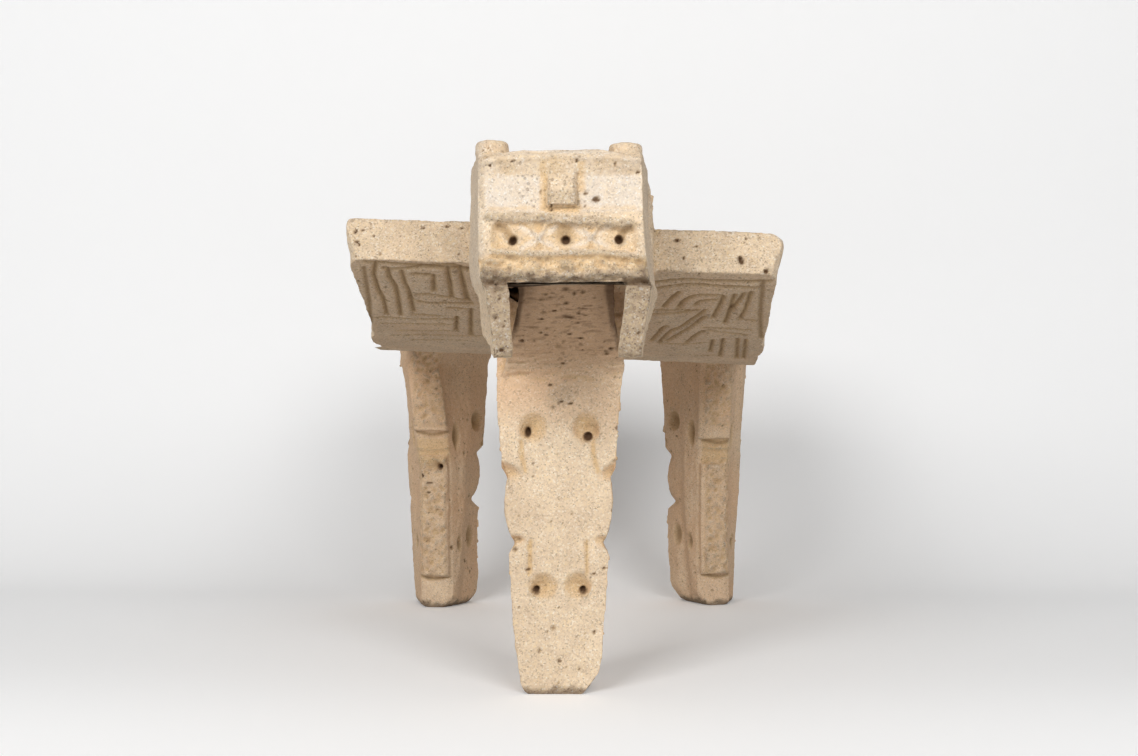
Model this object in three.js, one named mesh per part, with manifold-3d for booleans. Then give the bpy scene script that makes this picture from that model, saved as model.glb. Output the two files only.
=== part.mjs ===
// Tripod metate with an animal head, a grinding table carved from one block of volcanic stone.
// Millimetres, +Z up. The head looks along -Y, and +X is on the right of someone who faces it.
// The origin is on the ground, below the middle of the whole stone.
import * as THREE from "three";
import { ConvexGeometry } from "three/addons/geometries/ConvexGeometry.js";
import { mergeVertices } from "three/addons/utils/BufferGeometryUtils.js";
import Module from "manifold-3d";

// Driving dimensions. Lengths along Y are measured from the front leg's outer face.

const jointGap = 0.3; // kept between members that meet
const overlap = 1; // of the pieces of one member before they are joined

// Grinding plate
const plateLength = 480;
const plateOverhang = 20; // of the front end past the front leg's outer face
const plateFrontWidth = 280;
const plateRearWidth = 328;
const plateWaist = 14; // how far each long side is drawn in near the front
const plateThickness = 26;
const plateRise = 54; // of both ends above the middle
const plateUnderside = 219; // height of the underside at its lowest
const plateEndLean = 9; // of the end faces, square to the curved surface
const plateCorner = 15; // corner radius in plan
const plateRoll = 2.3; // degrees, the stone is lower on its right

// Legs
const frontFootWidth = 51;
const frontTopWidth = 84; // at the height of the plate's underside
const rearFootWidth = 54;
const rearTopWidth = 86;
const legDepth = 50; // from the outer face to the spine, at the top
const legFootDepth = 41;
const spineWidth = 29;
const footCorner = 11;
const footFlat = 30; // width of the worn face that a leg stands on
const lowerNotchHeight = 97;
const upperNotchHeight = 139;
const notchFlank = 7; // height of a notch's steep side
const upperNotchShare = 0.7; // depth of the upper notch as a share of the lower one's
const lobeProud = 1; // how far the lobe between the notches swells
const frontNotchDepth = 5;
const rearNotchDepth = 8;
const ribStepHeight = 157; // lower end of the rib's upper block
const ribBandHeight = 22; // of the hollow band below that block
const ribFootHeight = 28; // lower end of the rib's lower block
const ribTopWidth = 31;
const ribLowWidth = 25;
const ribProud = 5;
const ribBandProud = 1.5;
const ribEdge = 1.5; // worn off the rib's edges
const ribRoot = 4; // how deep the rib's blocks reach into the spine
const rearLegInset = 45.5; // from the side of the plate's rear end to a rear leg's middle
const rearLegShift = 1; // of the rear legs' middle, to the right
const leftRearToe = 8; // degrees, spines turned outwards
const rightRearToe = 12;
const leftRearLegReach = 390; // to its outer face
const rightRearLegReach = 410;

// Drilled pits on the legs
const pitRadius = 6;
const pitDepth = 8;
const pitBore = 2.6; // radius of the deeper hole in a pit
const pitBoreDepth = 13;
const pitRim = 3; // of the drill past the surface
const upperPitHeight = 168;
const lowerPitHeight = 70;
const upperPitSpacing = 39;
const lowerPitSpacing = 22;
const sidePitDrop = 10; // how much lower the pits of the side faces are
const sidePitSpread = 0.65; // their spacing as a share of the outer face's
const sidePitInset = 0.62; // place of a side face's pits, from the outer face to the spine

// Head
const headReach = 110; // from the front leg's outer face to the face
const headFrontWidth = 94;
const headRearWidth = 114; // where the head meets the plate
const jawHeight = 268; // height of the head's underside
const headHeight = 65;
const headShift = 2.5; // where the head meets the plate, to the right
const headRoll = -0.5; // degrees
const headTurn = 2.1; // degrees, to the right
const headCorner = 7;
const foreheadSlope = 12;
const napeLength = 12; // how far the head's back lies over the plate
const eyeBottom = 28; // heights above the jaw
const eyeTop = 48;
const eyeMargin = 4.5; // left standing at each side of the face
const noseWidth = 17;
const noseBottom = 33;
const noseProud = 4;
const noseTip = 5; // height of the worn tip
const eyeDepth = 4;
const mouthBottom = 8;
const mouthTop = 22.5;
const mouthMargin = 7;
const mouthDepth = 4;
const crossReach = 7; // half the width of a crossing between two mouth pits
const crossWidth = 3.5;
const crossHeight = 3;
const mouthPitSpacing = 30;
const mouthPitRadius = 6.5;
const mouthPitBore = 2.6;
const mouthPitDepth = 6;
const mouthPitBoreDepth = 14;
const lipDrop = 11;
const lipDepth = 20;
const lipProud = 2.5;
const cheekThickness = 14;
const cheekTaper = 3; // how much nearer to the middle a cheek's outer side is at its foot
const cheekDrop = 54;
const cheekFoot = 15; // depth of a cheek's lower end
const cheekLean = 2; // how far its front edge leans back
const cheekRoot = 12; // from the leg's face to a cheek's rear end
const throatDrop = 64;
const throatTuck = 2; // room between the throat and the lip's back
const throatFoot = 6; // how far the uncut keel reaches past the leg's outer face
const throatTopWidth = 52;
const throatFootWidth = 80;
const earRadius = 10.5;
const earHeight = 8;
const earOverhang = 1.5; // past the side of the head
const earSetback = 31; // from the face to the middle of an ear

const stoneColour = 0xd3bc98;
const curveSteps = 12;
const plateSteps = 28;
const roundSteps = 14;
const ringSteps = 12;

const wasm = await Module();
wasm.setup();

const { degToRad } = THREE.MathUtils;
const xAxis = new THREE.Vector3(1, 0, 0);
const yAxis = new THREE.Vector3(0, 1, 0);
const zAxis = new THREE.Vector3(0, 0, 1);
const still = new THREE.Matrix4();

// Solids, and the shapes they are cut from

// A closed geometry, moved by a matrix, as a solid that can be joined and cut.
function solidOf(geometry, matrix = still) {
  const bare = new THREE.BufferGeometry();
  bare.setAttribute("position", geometry.getAttribute("position").clone());
  if (geometry.index) bare.setIndex(geometry.index.clone());
  const merged = mergeVertices(bare.applyMatrix4(matrix), 1e-4);
  return new wasm.Manifold(
    new wasm.Mesh({
      numProp: 3,
      vertProperties: merged.getAttribute("position").array,
      triVerts: new Uint32Array(merged.index.array),
    }),
  );
}

function geometryOf(solid) {
  const { numProp, numVert, vertProperties, triVerts } = solid.getMesh();
  const points = new Float32Array(numVert * 3);
  for (let i = 0; i < numVert; i++) {
    points.set(vertProperties.subarray(i * numProp, i * numProp + 3), i * 3);
  }
  return new THREE.BufferGeometry()
    .setAttribute("position", new THREE.BufferAttribute(points, 3))
    .setIndex(new THREE.BufferAttribute(new Uint32Array(triVerts), 1));
}

const matrixOf = (x, y, z, turn = new THREE.Euler()) =>
  new THREE.Matrix4().compose(
    new THREE.Vector3(x, y, z),
    new THREE.Quaternion().setFromEuler(turn),
    new THREE.Vector3(1, 1, 1),
  );

// A prism along one axis, whose section is drawn across it: (y, z) for x, (x, z) for y, (x, y) for z.
function prism(section, axis, from, to, curveSegments = curveSteps) {
  const geometry = new THREE.ExtrudeGeometry(section, {
    depth: to - from,
    bevelEnabled: false,
    curveSegments,
  });
  const frames = {
    x: new THREE.Matrix4().makeBasis(yAxis, zAxis, xAxis).setPosition(from, 0, 0),
    y: new THREE.Matrix4()
      .makeBasis(xAxis, zAxis, yAxis.clone().negate())
      .setPosition(0, to, 0),
    z: new THREE.Matrix4().setPosition(0, 0, from),
  };
  return solidOf(geometry, frames[axis]);
}

const polygon = (points) =>
  new THREE.Shape(points.map(([a, b]) => new THREE.Vector2(a, b)));

const block = (points) =>
  solidOf(new ConvexGeometry(points.map((p) => new THREE.Vector3(...p))));

// A box between two corners.
function boxBetween([x0, y0, z0], [x1, y1, z1]) {
  const box = new THREE.BoxGeometry(x1 - x0, y1 - y0, z1 - z0);
  return solidOf(box, matrixOf((x0 + x1) / 2, (y0 + y1) / 2, (z0 + z1) / 2));
}

// A drill's cutting body: a funnel with a deeper bore, pointing from its mouth along a direction.
function drill(mouth, direction, radius, depth, bore, boreDepth) {
  const flare = (radius - bore) / depth; // carried on past the surface, so that the cut opens cleanly
  const profile = [
    [0, -boreDepth],
    [bore, -boreDepth],
    [bore, -depth],
    [radius + flare * pitRim, pitRim],
    [0, pitRim],
  ];
  const funnel = new THREE.LatheGeometry(
    profile.map(([r, h]) => new THREE.Vector2(r, h)),
    ringSteps,
  );
  const outwards = new THREE.Vector3(...direction).normalize().negate();
  const turn = new THREE.Quaternion().setFromUnitVectors(yAxis, outwards);
  return solidOf(
    funnel,
    new THREE.Matrix4().compose(
      new THREE.Vector3(...mouth),
      turn,
      new THREE.Vector3(1, 1, 1),
    ),
  );
}

// Grinding plate, in a frame at the middle of its underside

const plateMiddle = plateLength / 2 - plateOverhang;

// The plate's side view. grow makes it larger all round, for cutting the members that carry it.
function plateSection(grow, thickness = plateThickness) {
  const half = plateLength / 2 + grow;
  const low = -grow;
  const high = thickness + grow;
  const shape = new THREE.Shape();
  shape.moveTo(-half, low + plateRise);
  shape.quadraticCurveTo(0, low - plateRise, half, low + plateRise);
  shape.lineTo(half - plateEndLean, high + plateRise);
  shape.quadraticCurveTo(0, high - plateRise, plateEndLean - half, high + plateRise);
  shape.closePath();
  return prism(shape, "x", -plateRearWidth, plateRearWidth, plateSteps);
}

// The plate's outline from above, with drawn-in long sides and rounded corners.
function plateOutline(grow) {
  const half = plateLength / 2 + grow;
  const front = plateFrontWidth / 2 + grow;
  const rear = plateRearWidth / 2 + grow;
  const waist = THREE.MathUtils.lerp(front, rear, 1 / 3) - plateWaist;
  const hip = THREE.MathUtils.lerp(front, rear, 2 / 3);
  const r = plateCorner;
  const shape = new THREE.Shape();
  shape.moveTo(-front + r, -half);
  shape.lineTo(front - r, -half);
  shape.quadraticCurveTo(front, -half, front, r - half);
  shape.bezierCurveTo(waist, -half / 3, hip, half / 3, rear, half - r);
  shape.quadraticCurveTo(rear, half, rear - r, half);
  shape.lineTo(r - rear, half);
  shape.quadraticCurveTo(-rear, half, -rear, half - r);
  shape.bezierCurveTo(-hip, half / 3, -waist, -half / 3, -front, r - half);
  shape.quadraticCurveTo(-front, -half, r - front, -half);
  return shape;
}

function plateGeometry(grow = 0) {
  const above = prism(plateOutline(grow), "z", -plateRise, plateThickness + 2 * plateRise);
  return geometryOf(plateSection(grow).intersect(above));
}

const platePlace = matrixOf(
  0,
  plateMiddle,
  plateUnderside,
  new THREE.Euler(0, degToRad(plateRoll), 0),
);

// Room for the plate, or all the room above its underside, as seen from a member's own frame.
const seenFrom = (place) => place.clone().invert().multiply(platePlace);
const plateRoom = (place) => solidOf(plateGeometry(jointGap), seenFrom(place));
const upperRoom = (place) =>
  solidOf(geometryOf(plateSection(jointGap, plateUnderside)), seenFrom(place));

// Legs, each in a frame on the ground at the middle of its outer face, with the spine towards +Y

const legTop = plateUnderside + plateRise;
const upLeg = (z, foot, top) => foot + ((top - foot) * z) / plateUnderside;
const depthAt = (z) => upLeg(z, legFootDepth, legDepth);

const frontCut = {
  half: (z) => upLeg(z, frontFootWidth, frontTopWidth) / 2,
  notchDepth: frontNotchDepth,
};
const rearCut = {
  half: (z) => upLeg(z, rearFootWidth, rearTopWidth) / 2,
  notchDepth: rearNotchDepth,
};

// The scalloped outline of a leg: two notches with a round lobe between them.
function legOutline({ half: legHalf, notchDepth }) {
  const lobeTop = lowerNotchHeight - notchFlank;
  const lobeFoot = upperNotchHeight + notchFlank;
  const low = legHalf(lowerNotchHeight) - notchDepth;
  const high = legHalf(upperNotchHeight) - notchDepth * upperNotchShare;
  const lobe = legHalf((lowerNotchHeight + upperNotchHeight) / 2) + lobeProud;
  const swell = (upperNotchHeight - lowerNotchHeight) / 4;
  const trace = (shape, side) => {
    const up = [
      () => shape.lineTo((side * footFlat) / 2, 0),
      () => shape.quadraticCurveTo(side * legHalf(0), 0, side * legHalf(footCorner), footCorner),
      () => shape.lineTo(side * legHalf(lobeTop), lobeTop),
      () => shape.lineTo(side * low, lowerNotchHeight),
      () =>
        shape.bezierCurveTo(
          side * lobe,
          lowerNotchHeight + swell,
          side * lobe,
          upperNotchHeight - swell,
          side * high,
          upperNotchHeight,
        ),
      () => shape.lineTo(side * legHalf(lobeFoot), lobeFoot),
      () => shape.lineTo(side * legHalf(legTop), legTop),
    ];
    up.forEach((step) => step());
  };
  const right = new THREE.Shape();
  right.moveTo(0, 0);
  trace(right, 1);
  const half = right.getPoints(curveSteps);
  const left = half.slice(1).reverse();
  return new THREE.Shape([...half, ...left.map((p) => new THREE.Vector2(-p.x, p.y))]);
}

// The plain tapering body: wide outer face, slanting sides, narrow spine.
function legBody({ half: legHalf }) {
  const spine = spineWidth / 2;
  return block([
    [-legHalf(0), 0, 0],
    [legHalf(0), 0, 0],
    [spine, depthAt(0), 0],
    [-spine, depthAt(0), 0],
    [-legHalf(legTop), 0, legTop],
    [legHalf(legTop), 0, legTop],
    [spine, depthAt(legTop), legTop],
    [-spine, depthAt(legTop), legTop],
  ]);
}

// One block of the rib on the spine, between two heights.
function ribBlock(from, to, width, proud) {
  const half = width / 2;
  const corner = (x, y, z) => [x, depthAt(z) + y, z];
  return block(
    [from, to].flatMap((z) => [
      corner(-half, -ribRoot, z),
      corner(half, -ribRoot, z),
      corner(half, proud - ribEdge, z),
      corner(half - ribEdge, proud, z),
      corner(ribEdge - half, proud, z),
      corner(-half, proud - ribEdge, z),
    ]),
  );
}

// The pits of one face, in two pairs. place turns a height and a distance from the middle into a point.
function facePits(place, direction) {
  return [
    [upperPitHeight, upperPitSpacing],
    [lowerPitHeight, lowerPitSpacing],
  ].flatMap(([z, spacing]) =>
    [-1, 1].map((side) =>
      drill(place(z, (side * spacing) / 2), direction, pitRadius, pitDepth, pitBore, pitBoreDepth),
    ),
  );
}

// The direction along a slanting side face, from the outer face to the spine, and the face's inward normal.
function sideFace(side, { half }) {
  const across = half(upperPitHeight) - spineWidth / 2;
  const along = new THREE.Vector2(-side * across, depthAt(upperPitHeight)).normalize();
  return { along, inwards: [-side * along.y, -Math.abs(along.x), 0] };
}

function sidePits(side, cut) {
  const { along, inwards } = sideFace(side, cut);
  return facePits((height, offset) => {
    const z = height - sidePitDrop;
    const middle = new THREE.Vector2(side * cut.half(z), 0);
    middle.lerp(new THREE.Vector2((side * spineWidth) / 2, depthAt(z)), sidePitInset);
    const { x, y } = middle.addScaledVector(along, offset * sidePitSpread);
    return [x, y, z];
  }, inwards);
}

function legGeometry(cut, place) {
  const outline = prism(legOutline(cut), "y", -overlap, legDepth * 2);
  let leg = legBody(cut).intersect(outline);
  const bandTop = ribStepHeight;
  const bandFoot = ribStepHeight - ribBandHeight;
  [
    ribBlock(bandTop, legTop, ribTopWidth, ribProud),
    ribBlock(bandFoot, bandTop, spineWidth, ribBandProud),
    ribBlock(ribFootHeight, bandFoot, ribLowWidth, ribProud),
    ribBlock(0, ribFootHeight, ribLowWidth, ribBandProud),
  ].forEach((part) => {
    leg = leg.add(part);
  });
  const outerPits = facePits((z, offset) => [offset, 0, z], [0, 1, 0]);
  [...outerPits, ...sidePits(-1, cut), ...sidePits(1, cut)].forEach((pit) => {
    leg = leg.subtract(pit);
  });
  return geometryOf(leg.subtract(upperRoom(place)));
}

// Head, in a frame at the front leg's outer face, at the height of the jaw

const headPlace = matrixOf(
  headShift,
  0,
  jawHeight,
  new THREE.Euler(0, degToRad(headRoll), degToRad(headTurn)),
);

// What the neck and the head may not enter: the plate with the room above it, and the leg.
function neckCutters() {
  const legRoom = geometryOf(
    boxBetween([-frontTopWidth, -jointGap, 0], [frontTopWidth, legDepth, legTop]),
  );
  return upperRoom(headPlace).add(solidOf(legRoom, headPlace.clone().invert()));
}

// Half the head's width at a distance in front of the leg's outer face.
const headHalf = (reach) =>
  THREE.MathUtils.mapLinear(reach, headReach, plateOverhang, headFrontWidth, headRearWidth) / 2;

// The head from above, widening towards the plate.
function headOutline() {
  const front = headHalf(headReach);
  const rear = headHalf(-napeLength);
  const r = headCorner;
  const nose = lipProud + headReach;
  const shape = new THREE.Shape();
  shape.moveTo(r - front, -nose);
  shape.lineTo(front - r, -nose);
  shape.quadraticCurveTo(front, -nose, front, r - nose);
  shape.lineTo(rear, napeLength);
  shape.lineTo(-rear, napeLength);
  shape.lineTo(-front, r - nose);
  shape.quadraticCurveTo(-front, -nose, r - front, -nose);
  return shape;
}

// The room between the two cheeks, from above.
function roomOutline() {
  const corners = [headReach + lipDepth, -napeLength].map((reach) => [
    headHalf(reach) - cheekThickness,
    -reach,
  ]);
  return polygon([...corners, ...corners.map(([x, y]) => [-x, y]).reverse()]);
}

// The head from the side: lip, face, forehead, crown, and the nape that meets the plate.
function headSection() {
  const plateTop = plateUnderside + plateRise + plateThickness - jawHeight;
  const shape = new THREE.Shape();
  shape.moveTo(-headReach, mouthBottom / 2);
  shape.lineTo(-headReach, headHeight - foreheadSlope);
  shape.quadraticCurveTo(-headReach, headHeight, foreheadSlope - headReach, headHeight);
  shape.lineTo(-2 * plateOverhang, headHeight);
  shape.quadraticCurveTo(-plateOverhang, headHeight, -plateOverhang, plateTop + napeLength / 2);
  shape.lineTo(napeLength, plateTop - napeLength);
  shape.lineTo(-jointGap, plateTop - plateThickness);
  shape.lineTo(-jointGap, 0);
  shape.lineTo(-headReach, 0);
  return shape;
}

// The worn roll below the mouth, from one side of the head to the other.
function lip() {
  const half = headHalf(headReach);
  const face = -headReach;
  const front = face - lipProud;
  const back = face + lipDepth;
  const roll = new THREE.Shape();
  roll.moveTo(back, overlap);
  roll.lineTo(back, lipProud - lipDrop);
  roll.quadraticCurveTo(back, -lipDrop, (front + back) / 2, -lipDrop);
  roll.quadraticCurveTo(front, -lipDrop, front, -lipDrop / 2);
  roll.quadraticCurveTo(front, mouthBottom / 2, face, mouthBottom / 2);
  roll.lineTo(face, overlap);
  return prism(roll, "x", -half, half);
}

// A straight nose that runs down from the brow to a proud, worn tip.
function nose() {
  const root = eyeDepth + overlap - headReach;
  const tip = -headReach - noseProud;
  const brow = headHeight - foreheadSlope;
  const side = polygon([
    [root, noseBottom],
    [root, brow],
    [-headReach, brow],
    [tip, noseBottom + noseTip],
    [tip, noseBottom],
  ]);
  return prism(side, "x", -noseWidth / 2, noseWidth / 2);
}

// Two raised bars that cross between a pair of mouth pits, around a middle.
function crossing(middle) {
  const floor = mouthDepth - headReach;
  return [-1, 1]
    .map((slope) => {
      const low = middle - slope * crossReach;
      const high = middle + slope * crossReach;
      const bar = polygon([
        [low - crossWidth / 2, mouthBottom - overlap],
        [low + crossWidth / 2, mouthBottom - overlap],
        [high + crossWidth / 2, mouthTop + overlap],
        [high - crossWidth / 2, mouthTop + overlap],
      ]);
      return prism(bar, "y", floor - crossHeight, floor + overlap);
    })
    .reduce((cross, bar) => cross.add(bar));
}

// A recess in the face, between two heights, leaving a margin standing at each side.
function faceRecess(margin, bottom, top, depth) {
  const half = headHalf(headReach) - margin;
  return boxBetween([-half, -headReach - depth, bottom], [half, depth - headReach, top]);
}

function headGeometry() {
  const mouthMiddle = (mouthBottom + mouthTop) / 2;
  const pit = (place) =>
    drill(
      [place * mouthPitSpacing, mouthDepth - headReach, mouthMiddle],
      [0, 1, 0],
      mouthPitRadius,
      mouthPitDepth,
      mouthPitBore,
      mouthPitBoreDepth,
    );
  let head = prism(headSection(), "x", -headRearWidth, headRearWidth)
    .add(lip())
    .intersect(prism(headOutline(), "z", -cheekDrop, headHeight + overlap))
    .subtract(faceRecess(eyeMargin, eyeBottom, eyeTop, eyeDepth))
    .subtract(faceRecess(mouthMargin, mouthBottom, mouthTop, mouthDepth))
    .add(nose());
  [-0.5, 0.5].forEach((place) => {
    head = head.add(crossing(place * mouthPitSpacing));
  });
  [-1, 0, 1].forEach((place) => {
    head = head.subtract(pit(place));
  });
  return geometryOf(head.subtract(plateRoom(headPlace)));
}

// A side wall of the mouth, hanging from the lip and the jaw and ending in a free, blunt foot.
function cheekGeometry(side) {
  const shape = new THREE.Shape();
  const front = -headReach;
  const heel = front + cheekFoot;
  const behindLip = front + lipDepth + jointGap;
  const belowLip = -lipDrop - jointGap;
  shape.moveTo(front, belowLip);
  shape.lineTo(front + cheekLean, cheekFoot / 2 - cheekDrop);
  shape.quadraticCurveTo(front + cheekLean, -cheekDrop, front + cheekFoot / 2, -cheekDrop);
  shape.quadraticCurveTo(heel, -cheekDrop, heel, cheekFoot / 2 - cheekDrop);
  shape.lineTo(-cheekRoot, -jointGap);
  shape.lineTo(behindLip, -jointGap);
  shape.lineTo(behindLip, belowLip);
  const lean = new THREE.Matrix4().makeShear(0, 0, 0, 0, (side * cheekTaper) / cheekDrop, 0);
  const wall = prism(shape, "x", Math.min(0, side * headRearWidth), Math.max(0, side * headRearWidth));
  const outline = solidOf(geometryOf(prism(headOutline(), "z", -2 * cheekDrop, 0)), lean);
  const room = prism(roomOutline(), "z", -2 * cheekDrop, 0);
  return geometryOf(wall.intersect(outline).subtract(room).subtract(neckCutters()));
}

// The keel under the head, from the front leg's face forward to the lip.
function throatGeometry() {
  const reach = headReach - lipDepth - throatTuck;
  const section = new THREE.Shape();
  section.moveTo(throatFoot, -throatDrop);
  section.lineTo(0, -throatDrop);
  section.quadraticCurveTo(-reach / 5, -throatDrop * 0.72, -reach / 2, -throatDrop / 2);
  section.quadraticCurveTo(-reach * 0.8, -throatDrop / 3, -reach, -lipDrop);
  section.lineTo(-reach, -jointGap);
  section.lineTo(throatFoot, -jointGap);
  const top = throatTopWidth / 2;
  const foot = throatFootWidth / 2;
  const front = polygon([
    [-foot, -throatDrop],
    [foot, -throatDrop],
    [top, -jointGap],
    [-top, -jointGap],
  ]);
  const keel = prism(section, "x", -throatFootWidth, throatFootWidth).intersect(
    prism(front, "y", -2 * reach, throatFoot),
  );
  return geometryOf(keel.subtract(neckCutters()));
}

function earGeometry() {
  const r = earRadius;
  const profile = new THREE.Path();
  profile.moveTo(0, 0);
  profile.lineTo(r, 0);
  profile.lineTo(r, earHeight / 2);
  profile.quadraticCurveTo(r, earHeight, r / 2, earHeight);
  profile.lineTo(0, earHeight);
  return geometryOf(
    solidOf(
      new THREE.LatheGeometry(profile.getPoints(4), roundSteps),
      new THREE.Matrix4().makeRotationX(Math.PI / 2),
    ),
  );
}

// Assembly

const stone = new THREE.MeshStandardMaterial({
  color: stoneColour,
  roughness: 0.95,
  metalness: 0,
});

function member(name, geometry, place = still) {
  const mesh = new THREE.Mesh(geometry, stone.clone());
  mesh.name = name;
  mesh.applyMatrix4(place);
  return mesh;
}

function legs() {
  const middle = rearLegShift;
  const half = plateRearWidth / 2 - rearLegInset;
  const facing = (toe) => new THREE.Euler(0, 0, Math.PI + degToRad(toe));
  return [
    ["front_leg", frontCut, still],
    ["left_rear_leg", rearCut, matrixOf(middle - half, leftRearLegReach, 0, facing(-leftRearToe))],
    ["right_rear_leg", rearCut, matrixOf(middle + half, rightRearLegReach, 0, facing(rightRearToe))],
  ].map(([name, cut, place]) => member(name, legGeometry(cut, place), place));
}

function headGroup() {
  const group = new THREE.Group();
  group.applyMatrix4(headPlace);
  const earX = headHalf(headReach - earSetback) - earRadius + earOverhang;
  const earPlace = (side) =>
    matrixOf(side * earX, earSetback - headReach, headHeight + jointGap);
  group.add(
    member("head", headGeometry()),
    member("left_cheek", cheekGeometry(-1)),
    member("right_cheek", cheekGeometry(1)),
    member("throat", throatGeometry()),
    member("left_ear", earGeometry(), earPlace(-1)),
    member("right_ear", earGeometry(), earPlace(1)),
  );
  return group;
}

const carving = new THREE.Group();
carving.add(member("plate", plateGeometry(), platePlace), ...legs(), headGroup());

// The middle of the whole stone goes over the origin.
const extent = new THREE.Box3().setFromObject(carving, true);
const middle = extent.getCenter(new THREE.Vector3());
carving.position.set(-middle.x, -middle.y, -extent.min.z);

const metate = new THREE.Group();
metate.add(carving);

export default metate;
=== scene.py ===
"""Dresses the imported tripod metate: one block of pale, porous stone.

A square head is carved at one end of its saddle-shaped grinding plate.

The stone is shaped as one skin, so that its members run into each other as carved
stone does. The skin is then parted into the named members.
Sizes inside the classes are in millimetres; the finished pieces are in metres, in
the frame's own place.
"""

import logging
import math
from dataclasses import dataclass, field
from enum import Enum, IntEnum
from typing import Sequence

import bmesh
import bpy
import numpy as np
from mathutils import Matrix, Vector
from mathutils.kdtree import KDTree


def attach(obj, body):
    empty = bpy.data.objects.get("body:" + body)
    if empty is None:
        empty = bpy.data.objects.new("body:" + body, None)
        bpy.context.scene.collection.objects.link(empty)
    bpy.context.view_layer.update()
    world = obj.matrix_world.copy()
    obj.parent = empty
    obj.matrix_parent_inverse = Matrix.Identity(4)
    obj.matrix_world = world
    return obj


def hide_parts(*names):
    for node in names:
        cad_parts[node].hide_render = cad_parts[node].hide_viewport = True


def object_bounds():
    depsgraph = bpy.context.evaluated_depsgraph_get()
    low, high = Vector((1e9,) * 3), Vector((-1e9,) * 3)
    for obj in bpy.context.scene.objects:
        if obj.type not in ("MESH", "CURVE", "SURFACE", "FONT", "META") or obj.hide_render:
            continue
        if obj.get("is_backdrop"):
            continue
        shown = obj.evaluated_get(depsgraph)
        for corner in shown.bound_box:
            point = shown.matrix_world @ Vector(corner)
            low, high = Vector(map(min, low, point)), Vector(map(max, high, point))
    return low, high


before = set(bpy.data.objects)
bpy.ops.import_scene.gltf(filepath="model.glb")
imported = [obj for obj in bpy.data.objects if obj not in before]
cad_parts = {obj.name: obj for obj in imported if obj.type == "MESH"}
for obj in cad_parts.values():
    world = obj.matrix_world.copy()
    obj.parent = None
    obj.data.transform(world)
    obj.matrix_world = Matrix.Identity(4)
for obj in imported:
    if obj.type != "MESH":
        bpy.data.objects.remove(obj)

log = logging.getLogger("metate")

MM = 0.001
BODY = "root"
Pair = tuple[float, float]
Triple = tuple[float, float, float]


class Member(IntEnum):
    """The members that the finished stone is parted into."""

    PLATE_FRONT = 0
    PLATE_MIDDLE = 1
    PLATE_REAR = 2
    FRONT_LEG = 3
    LEFT_REAR_LEG = 4
    RIGHT_REAR_LEG = 5
    HEAD = 6
    LEFT_CHEEK = 7
    RIGHT_CHEEK = 8
    THROAT = 9
    LEFT_EAR = 10
    RIGHT_EAR = 11


CAD_NODE = {
    Member.PLATE_FRONT: "plate",
    Member.PLATE_MIDDLE: "plate",
    Member.PLATE_REAR: "plate",
    Member.FRONT_LEG: "front_leg",
    Member.LEFT_REAR_LEG: "left_rear_leg",
    Member.RIGHT_REAR_LEG: "right_rear_leg",
    Member.HEAD: "head",
    Member.LEFT_CHEEK: "left_cheek",
    Member.RIGHT_CHEEK: "right_cheek",
    Member.THROAT: "throat",
    Member.LEFT_EAR: "left_ear",
    Member.RIGHT_EAR: "right_ear",
}


class Mask(Enum):
    """The stone's colour marks, each kept as a value from 0 to 1 at every point: stain, dirt and
    wear, a pale and a pink tone, and painted shade and warm bounce light.
    """

    STAIN = "stain"
    # The soil mask holds dirt and painted shade: it darkens holes, pores, the throat's pockets and
    # faces under the plate and head.
    SOIL = "soil"
    WEAR = "wear"
    # The blush mask holds a pink tone and, mostly, painted warm bounce light under the plate and
    # the head.
    BLUSH = "blush"
    PALE = "pale"


# Measuring


def ease(value: np.ndarray, low: float, high: float) -> np.ndarray:
    """Eases a value from 0 at low to 1 at high.

    Args:
        value: The values to ease.
        low: Where the result is still 0.
        high: Where the result reaches 1.

    Returns:
        The eased values.
    """
    t = np.clip((value - low) / (high - low), 0.0, 1.0)
    return t * t * (3 - 2 * t)


def lattice_noise(points: np.ndarray, cell: float, seed: int) -> np.ndarray:
    """Gives smooth, seeded noise in space.

    Args:
        points: Places, one to a row.
        cell: The size of a lump of the noise.
        seed: What makes one noise differ from another.

    Returns:
        A value from -1 to 1 for each place.
    """
    rng = np.random.default_rng(seed)
    side = 64
    table = rng.uniform(-1, 1, (side, side, side))
    tilt = np.array(Matrix.Rotation(0.7 + seed, 3, Vector((1, 2, 3))))
    q = points @ tilt / cell + seed
    low = np.floor(q).astype(np.int64)
    t = q - low
    t = t * t * (3 - 2 * t)
    result = np.zeros(len(points))
    for corner in range(8):
        step = np.array([corner & 1, corner >> 1 & 1, corner >> 2 & 1])
        weight = np.prod(np.where(step, t, 1 - t), axis=1)
        at = (low + step) % side
        result += weight * table[at[:, 0], at[:, 1], at[:, 2]]
    return result


def curved(points: Sequence[Pair], steps: int = 6) -> np.ndarray:
    """Runs a smooth curve through a few points.

    Args:
        points: The points, in order.
        steps: How many short runs stand for the stretch between two points.

    Returns:
        The curve's points, one to a row.
    """
    p = np.array(points, float)
    if len(p) < 3:
        return p
    padded = np.vstack([2 * p[0] - p[1], p, 2 * p[-1] - p[-2]])
    out = []
    for a, b, c, d in zip(padded, padded[1:], padded[2:], padded[3:]):
        for t in np.arange(steps) / steps:
            out.append(
                b
                + 0.5 * t * (c - a)
                + t * t * (a - 2.5 * b + 2 * c - 0.5 * d)
                + t**3 * (1.5 * (b - c) + 0.5 * (d - a))
            )
    return np.vstack([out, p[-1]])


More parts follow.
